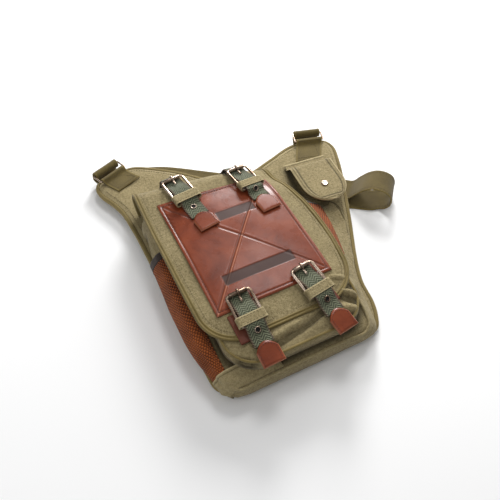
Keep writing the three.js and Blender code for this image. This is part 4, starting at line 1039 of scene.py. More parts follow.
def pocket_gap(x, y):
    """Distance from the front pocket's outline, positive outside it."""
    inner = POCKET_WIDTH / 2 - POCKET_CORNER
    return np.hypot(np.maximum(np.abs(x - POCKET_SHIFT) - inner, 0),
                    np.maximum(POCKET_CORNER - y, 0)) - POCKET_CORNER


POCKET_SHADE = {"wide": 12.0, "deep": 1.0, "under": 6.0}


def pocket_shade(ring):
    """How dark the body's front is beside the pocket that stands on it."""
    x, y, z = ring.T
    on_front = 1 - smoothstep(body_front(x, y) - z, 0, POCKET_SHADE["under"])
    return POCKET_SHADE["deep"] * bell(pocket_gap(x, y), 0, POCKET_SHADE["wide"]) * on_front


def add_body():
    levels = np.concatenate([[-0.034, -0.031, -0.026, -0.018, -0.009],
                             np.linspace(0.0, 0.98, 110)])
    rings = [body_ring(at, corner_steps=6, finer=4) for at in levels]
    count = len(rings[0])
    v = np.linspace(0, 1, count, endpoint=False)
    outer, deep = [], []
    for at, ring in zip(levels, rings):
        push = fold_depth(BODY_FOLDS, at + 0 * v, v)
        quiver = 0.35 * np.sin(v * 70 + at * 9) * np.sin(at * 60 + v * 14)
        hide = smoothstep(at, -0.012, 0.015)
        outer.append(ring + OUTWARD_SIGN * ring_normals(ring) * ((quiver - push) * hide)[:, None])
        # Painted shade in the folds' hollows and on the body's front beside the front pocket.
        deep.append(np.maximum(np.clip(push / 4, 0, 0.85) * hide, pocket_shade(ring)))
    inner = [ring - OUTWARD_SIGN * ring_normals(ring) * BODY_WALL for ring in rings[3:]][::-1]
    # The inner wall is painted darker, as shade inside the body.
    deeps = np.concatenate(deep + [np.full(count, 0.6)] * len(inner))
    body = ring_mesh("body", np.array(outer + inner), "canvas", deep=deeps)
    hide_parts("body_shell")


# The front pocket

def pocket_section(y, inset, size, low, high, across):
    rest = max(size["corner"] - y, 0)
    round_in = size["corner"] - math.sqrt(max(size["corner"] ** 2 - rest ** 2, 0))
    half = size["width"] / 2 - round_in - inset
    x = np.linspace(-half, half, across)
    squeeze = 0.45 * smoothstep(np.abs(x), half - size["depth"] / 3, half + 1)
    floor, top = low(x, y) + inset, high(x, y) - inset
    upper = points(x, y, lerp(floor, top, 1 - squeeze))
    lower = points(x, y, lerp(floor, top, 0.1 * squeeze))
    return np.vstack([upper, lower[::-1]])


def pocket(name, size, low, high, levels, across, transform, relief=None):
    outer = [pocket_section(at * size["length"], 0, size, low, high, across) for at in levels]
    inner = [pocket_section(at * size["length"], size["wall"], size, low, high, across)
             for at in levels[2:]][::-1]
    deep = []
    for i, row in enumerate(outer):
        push = relief(row[:, 0], row[:, 1]) if relief else 0 * row[:, 0]
        push = push * np.concatenate([np.ones(across), np.zeros(across)])
        outer[i] = row + points(0, 0, push)
        # Painted shade in the hollows of the creases.
        deep.append(np.clip(-push / 3.4, 0, 0.95))
    # The inner wall is painted darker, as shade inside the pocket.
    deeps = np.concatenate(deep + [np.full(2 * across, 0.6)] * len(inner))
    return ring_mesh(name, transform(np.array(outer + inner)), "canvas", deep=deeps)


# Creases of the front pocket below the flap: ends in millimetres, half width and height
POCKET_CREASES = [
    {"from": (-51, 10), "to": (2, 17), "wide": 3.0, "high": -5.6},
    {"from": (-46, 18), "to": (14, 26), "wide": 5.0, "high": 4.4},
    {"from": (-64, 26), "to": (-50, 8), "wide": 4.0, "high": 2.6},
    {"from": (-80, 16), "to": (-62, 2), "wide": 3.0, "high": -4.0},
    {"from": (6, 8), "to": (56, 20), "wide": 4.5, "high": 3.4},
    {"from": (0, 15), "to": (54, 30), "wide": 2.8, "high": -4.6},
    {"from": (62, 62), "to": (86, 50), "wide": 4.5, "high": 4.6},
    {"from": (58, 52), "to": (90, 38), "wide": 2.8, "high": -7.0},
    {"from": (66, 42), "to": (88, 24), "wide": 4.0, "high": 5.6},
    {"from": (62, 36), "to": (88, 14), "wide": 2.8, "high": -7.0},
    {"from": (58, 22), "to": (80, 10), "wide": 4.0, "high": 4.6},
    {"from": (40, 14), "to": (80, 5), "wide": 2.6, "high": -4.4},
]


def crease_height(creases, x, y):
    total = 0 * x
    for crease in creases:
        ends = (np.array(crease[end], float) for end in ("from", "to"))
        t, away = segment_place(x, y, *ends)
        total = total + crease["high"] * bell(away, 0, 2 * crease["wide"]) \
            * np.sin(np.pi * np.clip(0.12 + 0.76 * t, 0, 1))
    return total


def add_front_pocket():
    size = {"width": POCKET_WIDTH, "length": POCKET_LENGTH, "corner": POCKET_CORNER,
            "wall": POCKET_WALL, "depth": POCKET_DEPTH}
    levels = np.concatenate([[0.004, 0.008, 0.015, 0.025], np.linspace(0.04, 1, 90)])
    made = pocket("pocket", size,
                  lambda x, y: body_front(x + POCKET_SHIFT, y) + LAYER_GAP,
                  lambda x, y: front(x + POCKET_SHIFT, y, 0)[..., 2],
                  levels, 90, lambda p: p + [POCKET_SHIFT, 0, 0],
                  lambda x, y: crease_height(POCKET_CREASES, x, y))
    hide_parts("front_pocket")


PIPING_RADIUS = 1.7
PIPING_INSET = 2.2


def add_piping():
    """A cord sewn along the front pocket's lower edge and its round corners."""
    corner, half = POCKET_CORNER - PIPING_INSET, POCKET_WIDTH / 2 - PIPING_INSET
    side = np.array([(half, y) for y in np.linspace(110, POCKET_CORNER, 20)])
    turn = np.array([(half - corner + corner * math.cos(a), POCKET_CORNER - corner * math.sin(a))
                     for a in np.linspace(0, math.pi / 2, 20)[1:]])
    right = np.vstack([side, turn])
    path = resample(np.vstack([right, right[::-1] * [-1, 1]]), 2.0)
    x, y = path[:, 0] + POCKET_SHIFT, path[:, 1]
    drop = 0.10 * POCKET_DEPTH * smoothstep(np.abs(path[:, 0]), half - 6, half)
    tube("pocket_piping", points(x, y, front(x, y, 0)[..., 2] - drop), PIPING_RADIUS, "canvas", 10,
         material="binding")


# Shares of the front's length where the seam turns, on the left and on the right
SEAM_LEFT = (0.03, 0.0, -0.018, -0.027)
SEAM_RIGHT = (-0.027, -0.018, 0.0, 0.05, 0.12, 0.22, 0.32)


def seam_point(at, side):
    """A point on the body's front edge."""
    y = at * FRONT_LENGTH
    wide, rise = (float(follow(BODY_SECTIONS, at, column)) for column in ("front", "rise"))
    x = side * (wide * FRONT_HALF_WIDTH - PIPING_INSET)
    base = BACK_TOP + float(lift(y)) + LAYER_GAP
    return np.array([x, y, lerp(base, float(body_front(x, y)), rise)])


def add_body_piping():
    """The seam along the body's front edge, from the left corner round to the right side."""
    corners = [seam_point(at, -1) for at in SEAM_LEFT]
    left = corners[-1]
    right = [seam_point(at, 1) for at in SEAM_RIGHT]
    for share in (0.2, 0.4, 0.6, 0.8):
        spot = lerp(left, right[0], share)
        spot[2] = lerp(BACK_TOP + LAYER_GAP, float(body_front(spot[0], spot[1])), 0.8)
        corners.append(spot)
    path = smooth_curve(corners + right, 140)
    tube("body_piping", path, PIPING_RADIUS * 1.1, "canvas", 10)


# Mesh pockets

def gusset(at, first, last, share):
    """A point and normal on the body's ring between two of its CAD points."""
    ring = body_ring(at)
    count = len(ring)
    index = first + share * (last - first)
    i = np.floor(index).astype(int)
    t = (index - i)[:, None]
    normals = ring_normals(ring)

    def blend(values):
        p0, p1, p2, p3 = (values[(i + k) % count] for k in (-1, 0, 1, 2))
        return 0.5 * (2 * p1 + (p2 - p0) * t + (2 * p0 - 5 * p1 + 4 * p2 - p3) * t ** 2
                      + (3 * p1 - p0 - 3 * p2 + p3) * t ** 3)

    return blend(ring), unit(blend(normals))


# The body's ring points between first and last lie on the gusset, start and end are shares of the
# mesh's length, wide is the width that the knit is drawn on
MESH_POCKETS = [
    {"side": "left", "first": 9, "last": 17, "bulge": 1.0, "start": 0.0, "end": 0.933, "wide": 56},
    {"side": "right", "first": 28, "last": 32, "bulge": 0.4, "start": 0.5, "end": 1.0, "wide": 40},
]


def gusset_place(first, last, stand):
    """place(share, along, height) on the gusset: stand(share, y) is the distance out from it."""
    def place(share, along, height):
        rows = []
        for inside, y, out in zip(np.clip(share, 0, 1), along[:, 0], height):
            spot, normal = gusset(y / FRONT_LENGTH, first, last, inside)
            rows.append(spot + OUTWARD_SIGN * normal * (stand(inside, y) + out)[:, None])
        return np.array(rows)

    return place


def sheet_section(thickness, across, corner=0.01, rounding=2):
    """A thin section whose side runs from 0 to 1."""
    return rounded_section(1.0, thickness, across, corner, rounding) + [0.5, 0]


def add_mesh_pocket(side, first, last, bulge, start, end, wide):
    foot = MESH_LOW_EDGE + start * MESH_LENGTH
    top = MESH_LOW_EDGE + end * MESH_LENGTH
    swell = 0.4 * (top - foot)

    def stand(share, y):
        low = math.sin(min((y - foot) / swell, 1) * math.pi / 2)
        high = 1 - 0.35 * float(smoothstep(y, top - swell, top))
        arch = np.sin(np.pi * share) ** 0.7
        return LAYER_GAP + MESH_BULGE * bulge * arch * low * high

    place = gusset_place(first, last, stand)
    cloth_part = sweep(f"mesh_{side}", sheet_section(MESH_WALL, 30), np.linspace(foot, top, 90),
                       place, "mesh")
    layer = cloth_part.data.uv_layers[0]
    uv = np.zeros(len(layer.data) * 2)
    layer.data.foreach_get("uv", uv)
    uv[0::2] *= wide
    layer.data.foreach_set("uv", uv)
    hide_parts(f"mesh_pocket_{side}")
    along = np.linspace(top + CLEARANCE, top + ELASTIC_HEIGHT, 9)
    made = sweep(f"band_{side}", sheet_section(ELASTIC_WALL, 24, rounding=3), along, place,
                 "elastic")
    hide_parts(f"elastic_{side}")


PATCH_RING = {"first": 7.5, "last": 20.0, "low": -5.0, "top": 17.0}
PATCH_STAND = 3.0
PATCH_WALL = 1.2


def add_corner_patch():
    """The cloth patch that covers the left pocket's lower corner."""
    low, top = PATCH_RING["low"], PATCH_RING["top"]

    def stand(share, y):
        arch = np.sin(np.pi * share) ** 0.4
        crumple = 0.7 * np.sin(26 * share + 0.35 * y) * arch
        return 0.4 + (PATCH_STAND * arch + crumple) * smoothstep(y, low, low + 8)

    place = gusset_place(PATCH_RING["first"], PATCH_RING["last"], stand)
    sweep("corner_patch", sheet_section(PATCH_WALL, 60), np.linspace(low, top, 26), place, "canvas",
          # Lighter along the top edge and across the middle, with a painted shade line just below
          # the top edge.
          fields={"worn": lambda share, v: bell(top - v, 0, 2.2) + 0.3 * bell(share, 0.5, 0.5),
                  "deep": lambda share, v: 0.6 * bell(top - v, 3.4, 1.2)})


# The flap

def flap_side(along, side):
    return FRONT_HALF_WIDTH * follow(FLAP_SIDES, np.asarray(along) / FRONT_LENGTH, side)


def flap_edge(along, side, inset):
    corner = FLAP_CORNER - inset
    depth = np.clip(corner - (along - FLAP_LOW_EDGE - inset), 0, corner)
    sign = -1 if side == "left" else 1
    return flap_side(along, side) - sign * (inset + corner - np.sqrt(corner ** 2 - depth ** 2))


def flap_wave(across, along):
    """Gentle unevenness of the flap, in millimetres."""
    return 0.5 * np.sin(across * 0.055 + 1.0) * np.sin(along * 0.045) \
        + 0.4 * np.sin(across * 0.13 + along * 0.07)


def add_flap():
    inset = FLAP_BINDING - 2.0
    low = FLAP_LOW_EDGE + inset
    along = low + (FLAP_END - low) * np.linspace(0, 1, 150) ** 1.15

    def place(share, v, height):
        x = lerp(flap_edge(v, "left", inset), flap_edge(v, "right", inset), share)
        return front(x, v, LAYER_GAP + height + flap_wave(x, v) * (height > FLAP_WALL / 2))

    section = sheet_section(FLAP_WALL, 70, corner=0.004)
    made = sweep("flap_cloth", section, along, place, "canvas")
    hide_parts("flap")


def flap_border(t, inset):
    """A point on the flap's edge line, from its upper left end to its upper right end."""
    corner = FLAP_CORNER - inset
    sign = np.where(t < 0, -1.0, 1.0)
    part = np.abs(t)
    straight = lerp(FLAP_LOW_EDGE + FLAP_CORNER, FLAP_END, part - 2)
    turn = np.clip(part - 1, 0, 1) * math.pi / 2
    along = np.where(part > 2, straight, FLAP_LOW_EDGE + inset + corner * (1 - np.cos(turn)))
    side = np.where(t < 0, flap_side(along, "left"), flap_side(along, "right"))
    reach = side - sign * inset
    across = np.where(part > 2, reach, np.where(
        part > 1, reach - sign * corner * (1 - np.sin(turn)),
        lerp(0, reach - sign * corner, part)))
    return across, along


BORDER_STEPS = np.concatenate([np.linspace(0, 1, 14)[:-1], np.linspace(1, 2, 22)[:-1],
                               np.linspace(2, 3, 70)])
BORDER = np.concatenate([-BORDER_STEPS[:0:-1], BORDER_STEPS])


def add_flap_binding():
    section = rounded_section(FLAP_BINDING, FLAP_BINDING_THICKNESS + 0.8, 13, corner=1.2)
    middle = FLAP_BINDING / 2
    extra = (FLAP_BINDING_THICKNESS + 0.8 - FLAP_WALL) / 2

    def place(side, t, height):
        across, along = flap_border(t, middle + side)
        ridges = 0.9 * np.sin(2 * math.pi * (side / FLAP_BINDING + 0.5)) ** 2
        return front(across, along, LAYER_GAP - extra + height + ridges * (height > middle / 2))

    tape = sweep("flap_edge", section, BORDER, place, "binding")
    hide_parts("flap_binding")
    lines = []
    for inset in (FLAP_BINDING - 1.2, FLAP_BINDING + 3.5):
        top = FLAP_TOP + (extra if inset < FLAP_BINDING else 0.1)
        lines.append(front(*flap_border(BORDER, inset), top + 0.15))
    stitches("flap_stitches", lines, "binding", length=2.2, radius=0.28)


# The leather panel. Its marks are bare bars and a sewn cross.
PANEL_MARKS = [
    {"left": -15, "right": 36, "low": 189.5, "high": 204.5},
    {"left": -49, "right": 43, "low": 98.0, "high": 112.5},
]
MARK_SOFT = 0.7
PANEL_SEAM = 4.5
SEAM_HALF, SEAM_TALL = PANEL_WIDTH / 2 - PANEL_SEAM, PANEL_LENGTH / 2 - PANEL_SEAM
PANEL_MIDDLE = PANEL_LOW_EDGE + PANEL_LENGTH / 2


def mark_share(x, y):
    """1 inside the debossed bars, 0 outside."""
    total = 0 * x
    for mark in PANEL_MARKS:
        inside = 1
        for value, low, high in ((x, mark["left"], mark["right"]), (y, mark["low"], mark["high"])):
            inside = inside * smoothstep(value, low - MARK_SOFT, low + MARK_SOFT) \
                * (1 - smoothstep(value, high - MARK_SOFT, high + MARK_SOFT))
        total = np.maximum(total, inside)
    return total


def cross_distance(x, y):
    """Signed distances to the two diagonals of the panel."""
    size = math.hypot(SEAM_HALF, SEAM_TALL)
    out, up = x * SEAM_TALL, (y - PANEL_MIDDLE) * SEAM_HALF
    return (out - up) / size, (out + up) / size


def panel_inset(x, y):
    """Distance to the panel's nearest edge."""
    return np.minimum(PANEL_WIDTH / 2 - np.abs(x),
                      PANEL_LENGTH / 2 - np.abs(y - PANEL_LOW_EDGE - PANEL_LENGTH / 2))


def panel_relief(x, y):
    one, other = cross_distance(x, y)
    inset = panel_inset(x, y)
    inside = smoothstep(inset, PANEL_SEAM, PANEL_SEAM + 3)
    cross = 0.7 * bell(one, 0, 2.2) - 0.6 * bell(one, -2.8, 2.4) - 0.6 * bell(other, 0, 2.4) \
        + 0.25 * bell(other, 3.0, 2.4)
    groove = -0.6 * bell(inset, PANEL_SEAM, 1.6) + 0.25 * bell(inset, PANEL_SEAM / 2, 2.0)
    pucker = 0.3 * np.sin(0.9 * (x + y)) * bell(inset, PANEL_SEAM + 2, 5) \
        * smoothstep(y - x, 250, 320)
    puff = 0.5 * np.sin(x * 0.06) * np.sin(y * 0.05)
    return cross * inside + groove + pucker + puff - 0.6 * mark_share(x, y)


def add_leather_panel():
    top = PANEL_LOW_EDGE + PANEL_LENGTH

    def place(side, v, height):
        edge = np.minimum(np.abs(v - PANEL_LOW_EDGE), np.abs(v - top))
        soft = 0.7 * (1 - smoothstep(edge, 0, 1.2))
        is_top = height > PANEL_WALL / 2
        relief = np.where(is_top, panel_relief(side, v) - soft, soft)
        return front(side, v, PANEL_TOP - PANEL_WALL + height + relief)

    # Painted highlight along the ridge of one diagonal, and fainter along the panel's edges.
    def worn(side, v):
        one = cross_distance(side, v)[0]
        return 0.55 * bell(one, 0, 1.2) + 0.2 * bell(panel_inset(side, v), 0, 1.4)

    # Painted shade beside that ridge, along the other diagonal and in the seam's groove; inside the
    # bars the dark is their own grey print.
    def deep(side, v):
        one, other = cross_distance(side, v)
        lines = 0.6 * bell(one, -2.6, 1.5) + 0.55 * bell(other, 0, 1.5) \
            + 0.35 * bell(panel_inset(side, v), PANEL_SEAM, 1.2)
        return np.maximum(mark_share(side, v), lines)

    section = rounded_section(PANEL_WIDTH, PANEL_WALL, 160, corner=0.8)
    made = sweep("leather", section, edged(PANEL_LOW_EDGE, top, 180), place, "leather",
                 fields={"worn": worn, "deep": deep})
    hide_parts("leather_panel")
    corners = [(-1, -1), (1, -1), (1, 1), (-1, 1), (-1, -1)]
    rim = resample(np.array(corners) * [SEAM_HALF, SEAM_TALL], 2.0)
    lines = [front(rim[:, 0], rim[:, 1] + PANEL_MIDDLE, PANEL_TOP - 0.25)]
    stitches("leather_stitches", lines, "leather", "leather_thread", radius=0.35)


# Buckle straps

def strap_point(strap, side, down, out):
    turn = math.radians(strap["turn"])
    across = strap["across"] * PANEL_WIDTH / 2
    along = PANEL_LOW_EDGE + strap["along"] * PANEL_LENGTH
    return front(across + side * math.cos(turn) + down * math.sin(turn),
                 along + side * math.sin(turn) - down * math.cos(turn), out)


def bar_place(strap):
    roller = strap_point(strap, 0, 0, ROLLER_OUT)
    near, far = 0.5 * BAR_REACH, BAR_REACH
    halvings = 16
    for _ in range(halvings):
        middle = (near + far) / 2
        if np.linalg.norm(roller - strap_point(strap, 0, middle, BAR_OUT)) > BAR_REACH:
            far = middle
        else:
            near = middle
    return near


def seat_matrix(x, y, place):
    matrix = np.eye(4)
    matrix[:3, 0], matrix[:3, 1], matrix[:3, 2] = x, y, np.cross(x, y)
    matrix[:3, 3] = place
    return matrix


def apply(matrix, spots):
    return spots @ matrix[:3, :3].T + matrix[:3, 3]


def buckle_seat(strap, bar):
    raised = strap["raise"] * ROLLER_DIAMETER
    roller = strap_point(strap, 0, 0, ROLLER_OUT + raised)
    y = unit(roller - strap_point(strap, 0, bar, BAR_OUT + raised))
    x = sum(strap_point(strap, 1, d, 0) - strap_point(strap, -1, d, 0) for d in (0, bar))
    x = unit(x - y * x.dot(y))
    return seat_matrix(x, y, roller)


def seat_height(strap, down, out):
    return out - lerp(ROLLER_OUT, BAR_OUT, down / strap["bar"])


def buckled_point(strap, side, down, out):
    side, down, out = np.broadcast_arrays(*(np.asarray(c, float) for c in (side, down, out)))
    held = apply(strap["seat"], points(side, -BAR_REACH * down / strap["bar"],
                                       seat_height(strap, down, out)))
    grip = smoothstep(down, -3 * ROLLER_DIAMETER, -ROLLER_DIAMETER) \
        * (1 - smoothstep(down, strap["bar"] + FRAME_WIRE, strap["bar"] + 5 * FRAME_WIRE))
    return lerp(strap_point(strap, side, down, out), held, grip[..., None])


def webbing_out(strap, down):
    rise = smoothstep(down, ROLLER_DIAMETER, strap["bar"] - KEEPER_LENGTH)
    fall = smoothstep(down, strap["bar"] + FRAME_WIRE, strap["bar"] + 5 * FRAME_WIRE)
    behind = smoothstep(-down, 2 * ROLLER_DIAMETER, 4 * ROLLER_DIAMETER)
    return WEB_BASE + (WEB_OVER_BAR - WEB_BASE) * rise * (1 - fall) \
        - (PANEL_WALL + LAYER_GAP) * behind


def add_strap_webbing(strap):
    name = strap["name"]
    section = rounded_section(WEB_NARROW, WEB_NARROW_THICKNESS, 12, corner=0.9)
    start = -strap["over"] * OVER_TOP_LENGTH - ROLLER_DIAMETER / 2
    along = np.linspace(start, TIP_START + 3.0, 70)
    made = sweep(f"webbing_{name}", section, along, lambda side, down, height: buckled_point(
        strap, side, down, webbing_out(strap, down) + height), "webbing", worn_edge=2.2)
    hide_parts(f"strap_{name}")


def add_tip(strap):
    name = strap["name"]
    crown = 0.35 * TIP_LENGTH
    shape = rounded_section(TIP_WIDTH, TIP_THICKNESS, 16, corner=1.9)

    def tip(side, down, height):
        share = side / (TIP_WIDTH / 2)
        bow = crown * share ** 2 * (STRAP_END - down) / TIP_LENGTH
        end = np.minimum(down - TIP_START, STRAP_END - down)
        soft = 1 - 0.55 * (1 - smoothstep(end, 0, 2.0))
        middle = TIP_THICKNESS / 2
        height = middle + (height - middle) * soft
        return strap_point(strap, side, down + bow, WEB_BASE + height)

    # Painted highlight along the tip's sides and end.
    def worn(side, down):
        edge = np.minimum(TIP_WIDTH / 2 - np.abs(side), STRAP_END - down)
        return 0.5 * bell(edge, 0, 1.6)

    made = sweep(f"leather_tip_{name}", shape, edged(TIP_START, STRAP_END, 22), tip, "leather",
                 fields={"worn": worn})
    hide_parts(f"tip_{name}")
    inner = TIP_WIDTH / 2 - 3.0
    t = np.linspace(-1, 1, 30)
    side = np.concatenate([[-inner], inner * t, [inner]])
    down = np.concatenate([[STRAP_END - 3], 0 * t + TIP_START + 3.2, [STRAP_END - 3]])
    path = resample(np.stack([side, down], -1), 1.5)
    line = tip(path[:, 0], path[:, 1], 0 * path[:, 0] + TIP_THICKNESS + STITCH_OUT)
    stitches(f"tip_stitches_{name}", [line], "leather", "leather_thread", 2.0, 1.2, 0.3)


def rounded_loop(width, height, corner, steps=7):
    """Points round a rectangle with round corners, about its middle."""
    spots = []
    for sx, sy, start in ((1, -1, -90), (1, 1, 0), (-1, 1, 90), (-1, -1, 180)):
        cx, cy = sx * (width / 2 - corner), sy * (height / 2 - corner)
        for a in np.radians(np.linspace(start, start + 90, steps)):
            spots.append((cx + corner * math.cos(a), cy + corner * math.sin(a)))
    return np.array(spots)


PRONG_FLAT, PRONG_SPREAD = 0.7, 1.25
FRAME_SPREAD = 1.3


def add_buckle(strap):
    name, seat = strap["name"], strap["seat"]
    loop = rounded_loop(FRAME_WIDTH - FRAME_WIRE, FRAME_LENGTH - FRAME_WIRE,
                        FRAME_CORNER - FRAME_WIRE / 2)
    path = closed_loop(loop, 1.5)
    spots = apply(seat, points(path[:, 0], path[:, 1] - BAR_REACH / 2, 0))
    made = tube(f"buckle_{name}", spots, FRAME_SPREAD * FRAME_WIRE / 2, "metal", 12, closed=True,
                flat=0.8 / FRAME_SPREAD)
    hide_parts(f"frame_{name}")

    half = FRAME_WIDTH / 2 - FRAME_CORNER - CLEARANCE
    radius = ROLLER_DIAMETER / 2
    profile = [(radius - 1.0, -half), (radius - 0.3, -half), (radius, -half + 0.4),
               (radius, 0), (radius, half - 0.4), (radius - 0.3, half), (radius - 1.0, half)]
    turned = np.eye(4)
    turned[:3, :3] = seat[:3, :3] @ np.array([[0, 0, 1], [1, 0, 0], [0, 1, 0]])
    turned[:3, 3] = seat[:3, 3]
    made = lathe(f"buckle_roller_{name}", profile, turned, "metal", 24)
    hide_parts(f"roller_{name}")

    thin = PRONG_DIAMETER / 2
    over = radius + BUCKLE_GAP + thin * PRONG_FLAT
    foot = float(webbing_out(strap, PRONG_LENGTH)) + WEB_NARROW_THICKNESS + BUCKLE_GAP + thin
    corners = [(0, -PRONG_LENGTH, float(seat_height(strap, PRONG_LENGTH, foot)))]
    corners += [(0, -over * math.sin(a), over * math.cos(a))
                for a in np.radians(np.linspace(85, -70, 8))]
    spots = apply(seat, smooth_curve(corners, 34))
    made = tube(f"buckle_prong_{name}", spots, thin * PRONG_SPREAD, "metal", 12,
                flat=PRONG_FLAT / PRONG_SPREAD)
    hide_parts(f"prong_{name}")


def add_keeper(strap):
    name = strap["name"]
    wide = FRAME_WIDTH / 2 + BUCKLE_GAP + KEEPER_WALL / 2
    low, high = KEEPER_LOW + KEEPER_WALL / 2, KEEPER_TOP + KEEPER_WALL / 2
    loop = rounded_loop(2 * wide, high - low, 2.2, 5) + [0, (high + low) / 2]
    loop = closed_loop(loop, 1.6)
    normal = loop_normals(loop)
    section = rounded_section(KEEPER_LENGTH, KEEPER_WALL, 6, corner=0.55)
    middle = BAR_REACH - KEEPER_LENGTH / 2

    def place(side, along, height):
        i = along.astype(int)
        spot = loop[i] + normal[i] * (height - KEEPER_WALL / 2)[..., None]
        return buckled_point(strap, spot[..., 0], middle + side, spot[..., 1])

    made = sweep(f"loop_{name}", section, np.arange(len(loop)), place, "canvas", closed=True,
                 worn_edge=1.6)
    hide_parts(f"keeper_{name}")
    lines = []
    for shift in (-KEEPER_LENGTH / 2 + 2, KEEPER_LENGTH / 2 - 2):
        side = np.linspace(-wide + 2, wide - 2, 30)
        lines.append(buckled_point(strap, side, middle + shift,
                                   KEEPER_TOP + KEEPER_WALL + STITCH_OUT))
    stitches(f"loop_stitches_{name}", lines, "canvas", radius=0.3)


EYELET_RIM = 0.66


def add_eyelet(strap):
    name = strap["name"]
    outer, inner = EYELET_DIAMETER / 2, EYELET_RIM * EYELET_DIAMETER / 2
    at = FRAME_LENGTH + EYELET_BELOW_FRAME

    def place(side, down):
        return buckled_point(strap, side, down, webbing_out(strap, down)
                             + WEB_NARROW_THICKNESS + 2 * BUCKLE_GAP)

    y = unit(place(0, at - outer) - place(0, at + outer))
    x = place(outer, at) - place(-outer, at)
    x = unit(x - y * x.dot(y))
    seat = seat_matrix(x, y, place(0, at) - np.cross(x, y) * 0.7)
    middle, thick = (outer + inner) / 2, (outer - inner) / 2
    angles = np.linspace(0, 2 * math.pi, 10, endpoint=False)
    profile = [(middle + thick * math.cos(a), 0.2 + 0.85 * math.sin(a)) for a in angles]
    made = lathe(f"eyelet_ring_{name}", profile, seat, "metal", 26)
    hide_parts(f"eyelet_{name}")
    # A near-black disc in the eyelet's hole stands in for the shade inside it.
    lathe(f"eyelet_hole_{name}", [(0.05, 0.12), (inner + 0.3, 0.12), (inner + 0.3, -0.3),
                                  (0.05, -0.3)], seat, "webbing", 20, material="hole_shade")


# The tabs are painted darker all over, as shade.
TAB_SHADE = 0.45


def add_tab(strap):
    end = BAR_REACH + TAB_BELOW_FRAME
    section = rounded_section(TAB_WIDTH, TAB_THICKNESS, 10, corner=0.75)
    shift = strap["tab"] * TAB_WIDTH
    made = sweep(f"leather_tab_{strap['name']}", section, np.linspace(end - TAB_LENGTH, end, 20),
                 lambda side, down, height: strap_point(
                     strap, side + shift, down, FLAP_TOP + LAYER_GAP + height),
                 "leather", fields={"deep": lambda side, down: TAB_SHADE + 0 * side})
    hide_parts(f"tab_{strap['name']}")


def add_buckle_strap(row):
    bar = bar_place(row)
    strap = dict(row, bar=bar, seat=buckle_seat(row, bar))
    add_strap_webbing(strap)
    add_tip(strap)
    add_buckle(strap)
    add_keeper(strap)
    add_eyelet(strap)
    if "tab" in strap:
        add_tab(strap)


# Ears

def ring_place(ring, x, up, z):
    turn = math.radians(ring["turn"])
    middle = back_place(ring)
    return points(middle[0] + x * math.cos(turn) - up * math.sin(turn),
                  middle[1] + x * math.sin(turn) + up * math.cos(turn), z)


def add_ring(side, ring):
    loop = rounded_loop(RING_INNER_WIDTH + RING_WIRE, RING_INNER_HEIGHT + RING_WIRE, 1.4)
    path = closed_loop(loop, 1.2)
    made = tube(f"strap_ring_{side}", ring_place(ring, path[:, 0], path[:, 1], RING_HEIGHT),
                RING_WIRE / 2, "metal", 12, closed=True)
    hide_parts(f"ring_{side}")


def ribbon_place(stations, thickness, count):
    """place(side, along, height) on a smooth ribbon through stations of a point and half width."""
    spots = smooth_curve([s[0] for s in stations], count)
    halves = smooth_curve([s[1] for s in stations], count)
    ahead = np.gradient(spots, axis=0)
    normals = unit(np.cross(halves, ahead))

    def place(side, along, height):
        i = along.astype(int)
        where = spots[i] + halves[i] * (side / (WEB_WIDTH / 2))[..., None] \
            + normals[i] * (height - thickness / 2)[..., None]
        where[..., 2] = np.maximum(where[..., 2], FLOOR_GAP)
        return where

    return place


# A sewn box with a cross: across in millimetres, and stations along the tab
CROSS_SEAM = [(-16, 2), (16, 2), (16, 34), (-16, 34), (-16, 2), (16, 34), (16, 2), (-16, 34)]


def add_ear_tab(side, ring):
    bar = -(RING_INNER_HEIGHT + RING_WIRE) / 2
    around = RING_WIRE / 2 * math.sqrt(2) + CLEARANCE + EAR_TAB_THICKNESS / 2
    low = EAR_TOP + EAR_TAB_THICKNESS / 2
    across = ring_place(ring, WEB_WIDTH / 2, 0, 0) - ring_place(ring, 0, 0, 0)
    turns = [(bar + around * math.cos(a), RING_HEIGHT + around * math.sin(a))
             for a in np.radians(np.linspace(150, -60, 9))]
    path = [(bar - ring["tab"] * WEB_WIDTH, low), (bar - 3.4 * around, low),
            (bar - 2 * around, low + 0.4 * RING_WIRE)] + turns
    stations = [(ring_place(ring, ring["lean"] * max(bar - up, 0), up, z), across)
                for up, z in path]
    count = 90
    place = ribbon_place(stations, EAR_TAB_THICKNESS, count)
    section = rounded_section(WEB_WIDTH, EAR_TAB_THICKNESS, 14, corner=0.9)
    made = sweep(f"tab_{side}_ear", section, np.arange(count), place, "strap_webbing",
                 worn_edge=2.0)
    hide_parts(f"ear_tab_{side}")
    path = resample(np.array(CROSS_SEAM, float), 1.2)
    stitches(f"tab_{side}_stitches",
             [place(path[:, 0], path[:, 1], 0 * path[:, 0] + EAR_TAB_THICKNESS + STITCH_OUT)],
             "strap_webbing", radius=0.35)


def snap_seat():
    turn = math.radians(SNAP_POCKET["turn"])
    return seat_matrix(np.array([math.cos(turn), math.sin(turn), 0]),
                       np.array([-math.sin(turn), math.cos(turn), 0]),
                       back_place(SNAP_POCKET, EAR_TOP))


HEM_WIDTH = 7.5
HEM_RISE = 0.8
# Shares of the snap flap's length: its straight part, and the round end beyond it
SNAP_STRAIGHT, SNAP_ROUND = 0.55, 0.45
# The cap's section: shares of its radius and height, with a raised rim
SNAP_CAP_PROFILE = [
    (0.90, 0.0), (1.00, 0.15), (1.00, 0.40), (0.94, 0.58), (0.84, 0.66), (0.72, 0.60),
    (0.62, 0.52), (0.30, 0.56), (0.01, 0.58),
]


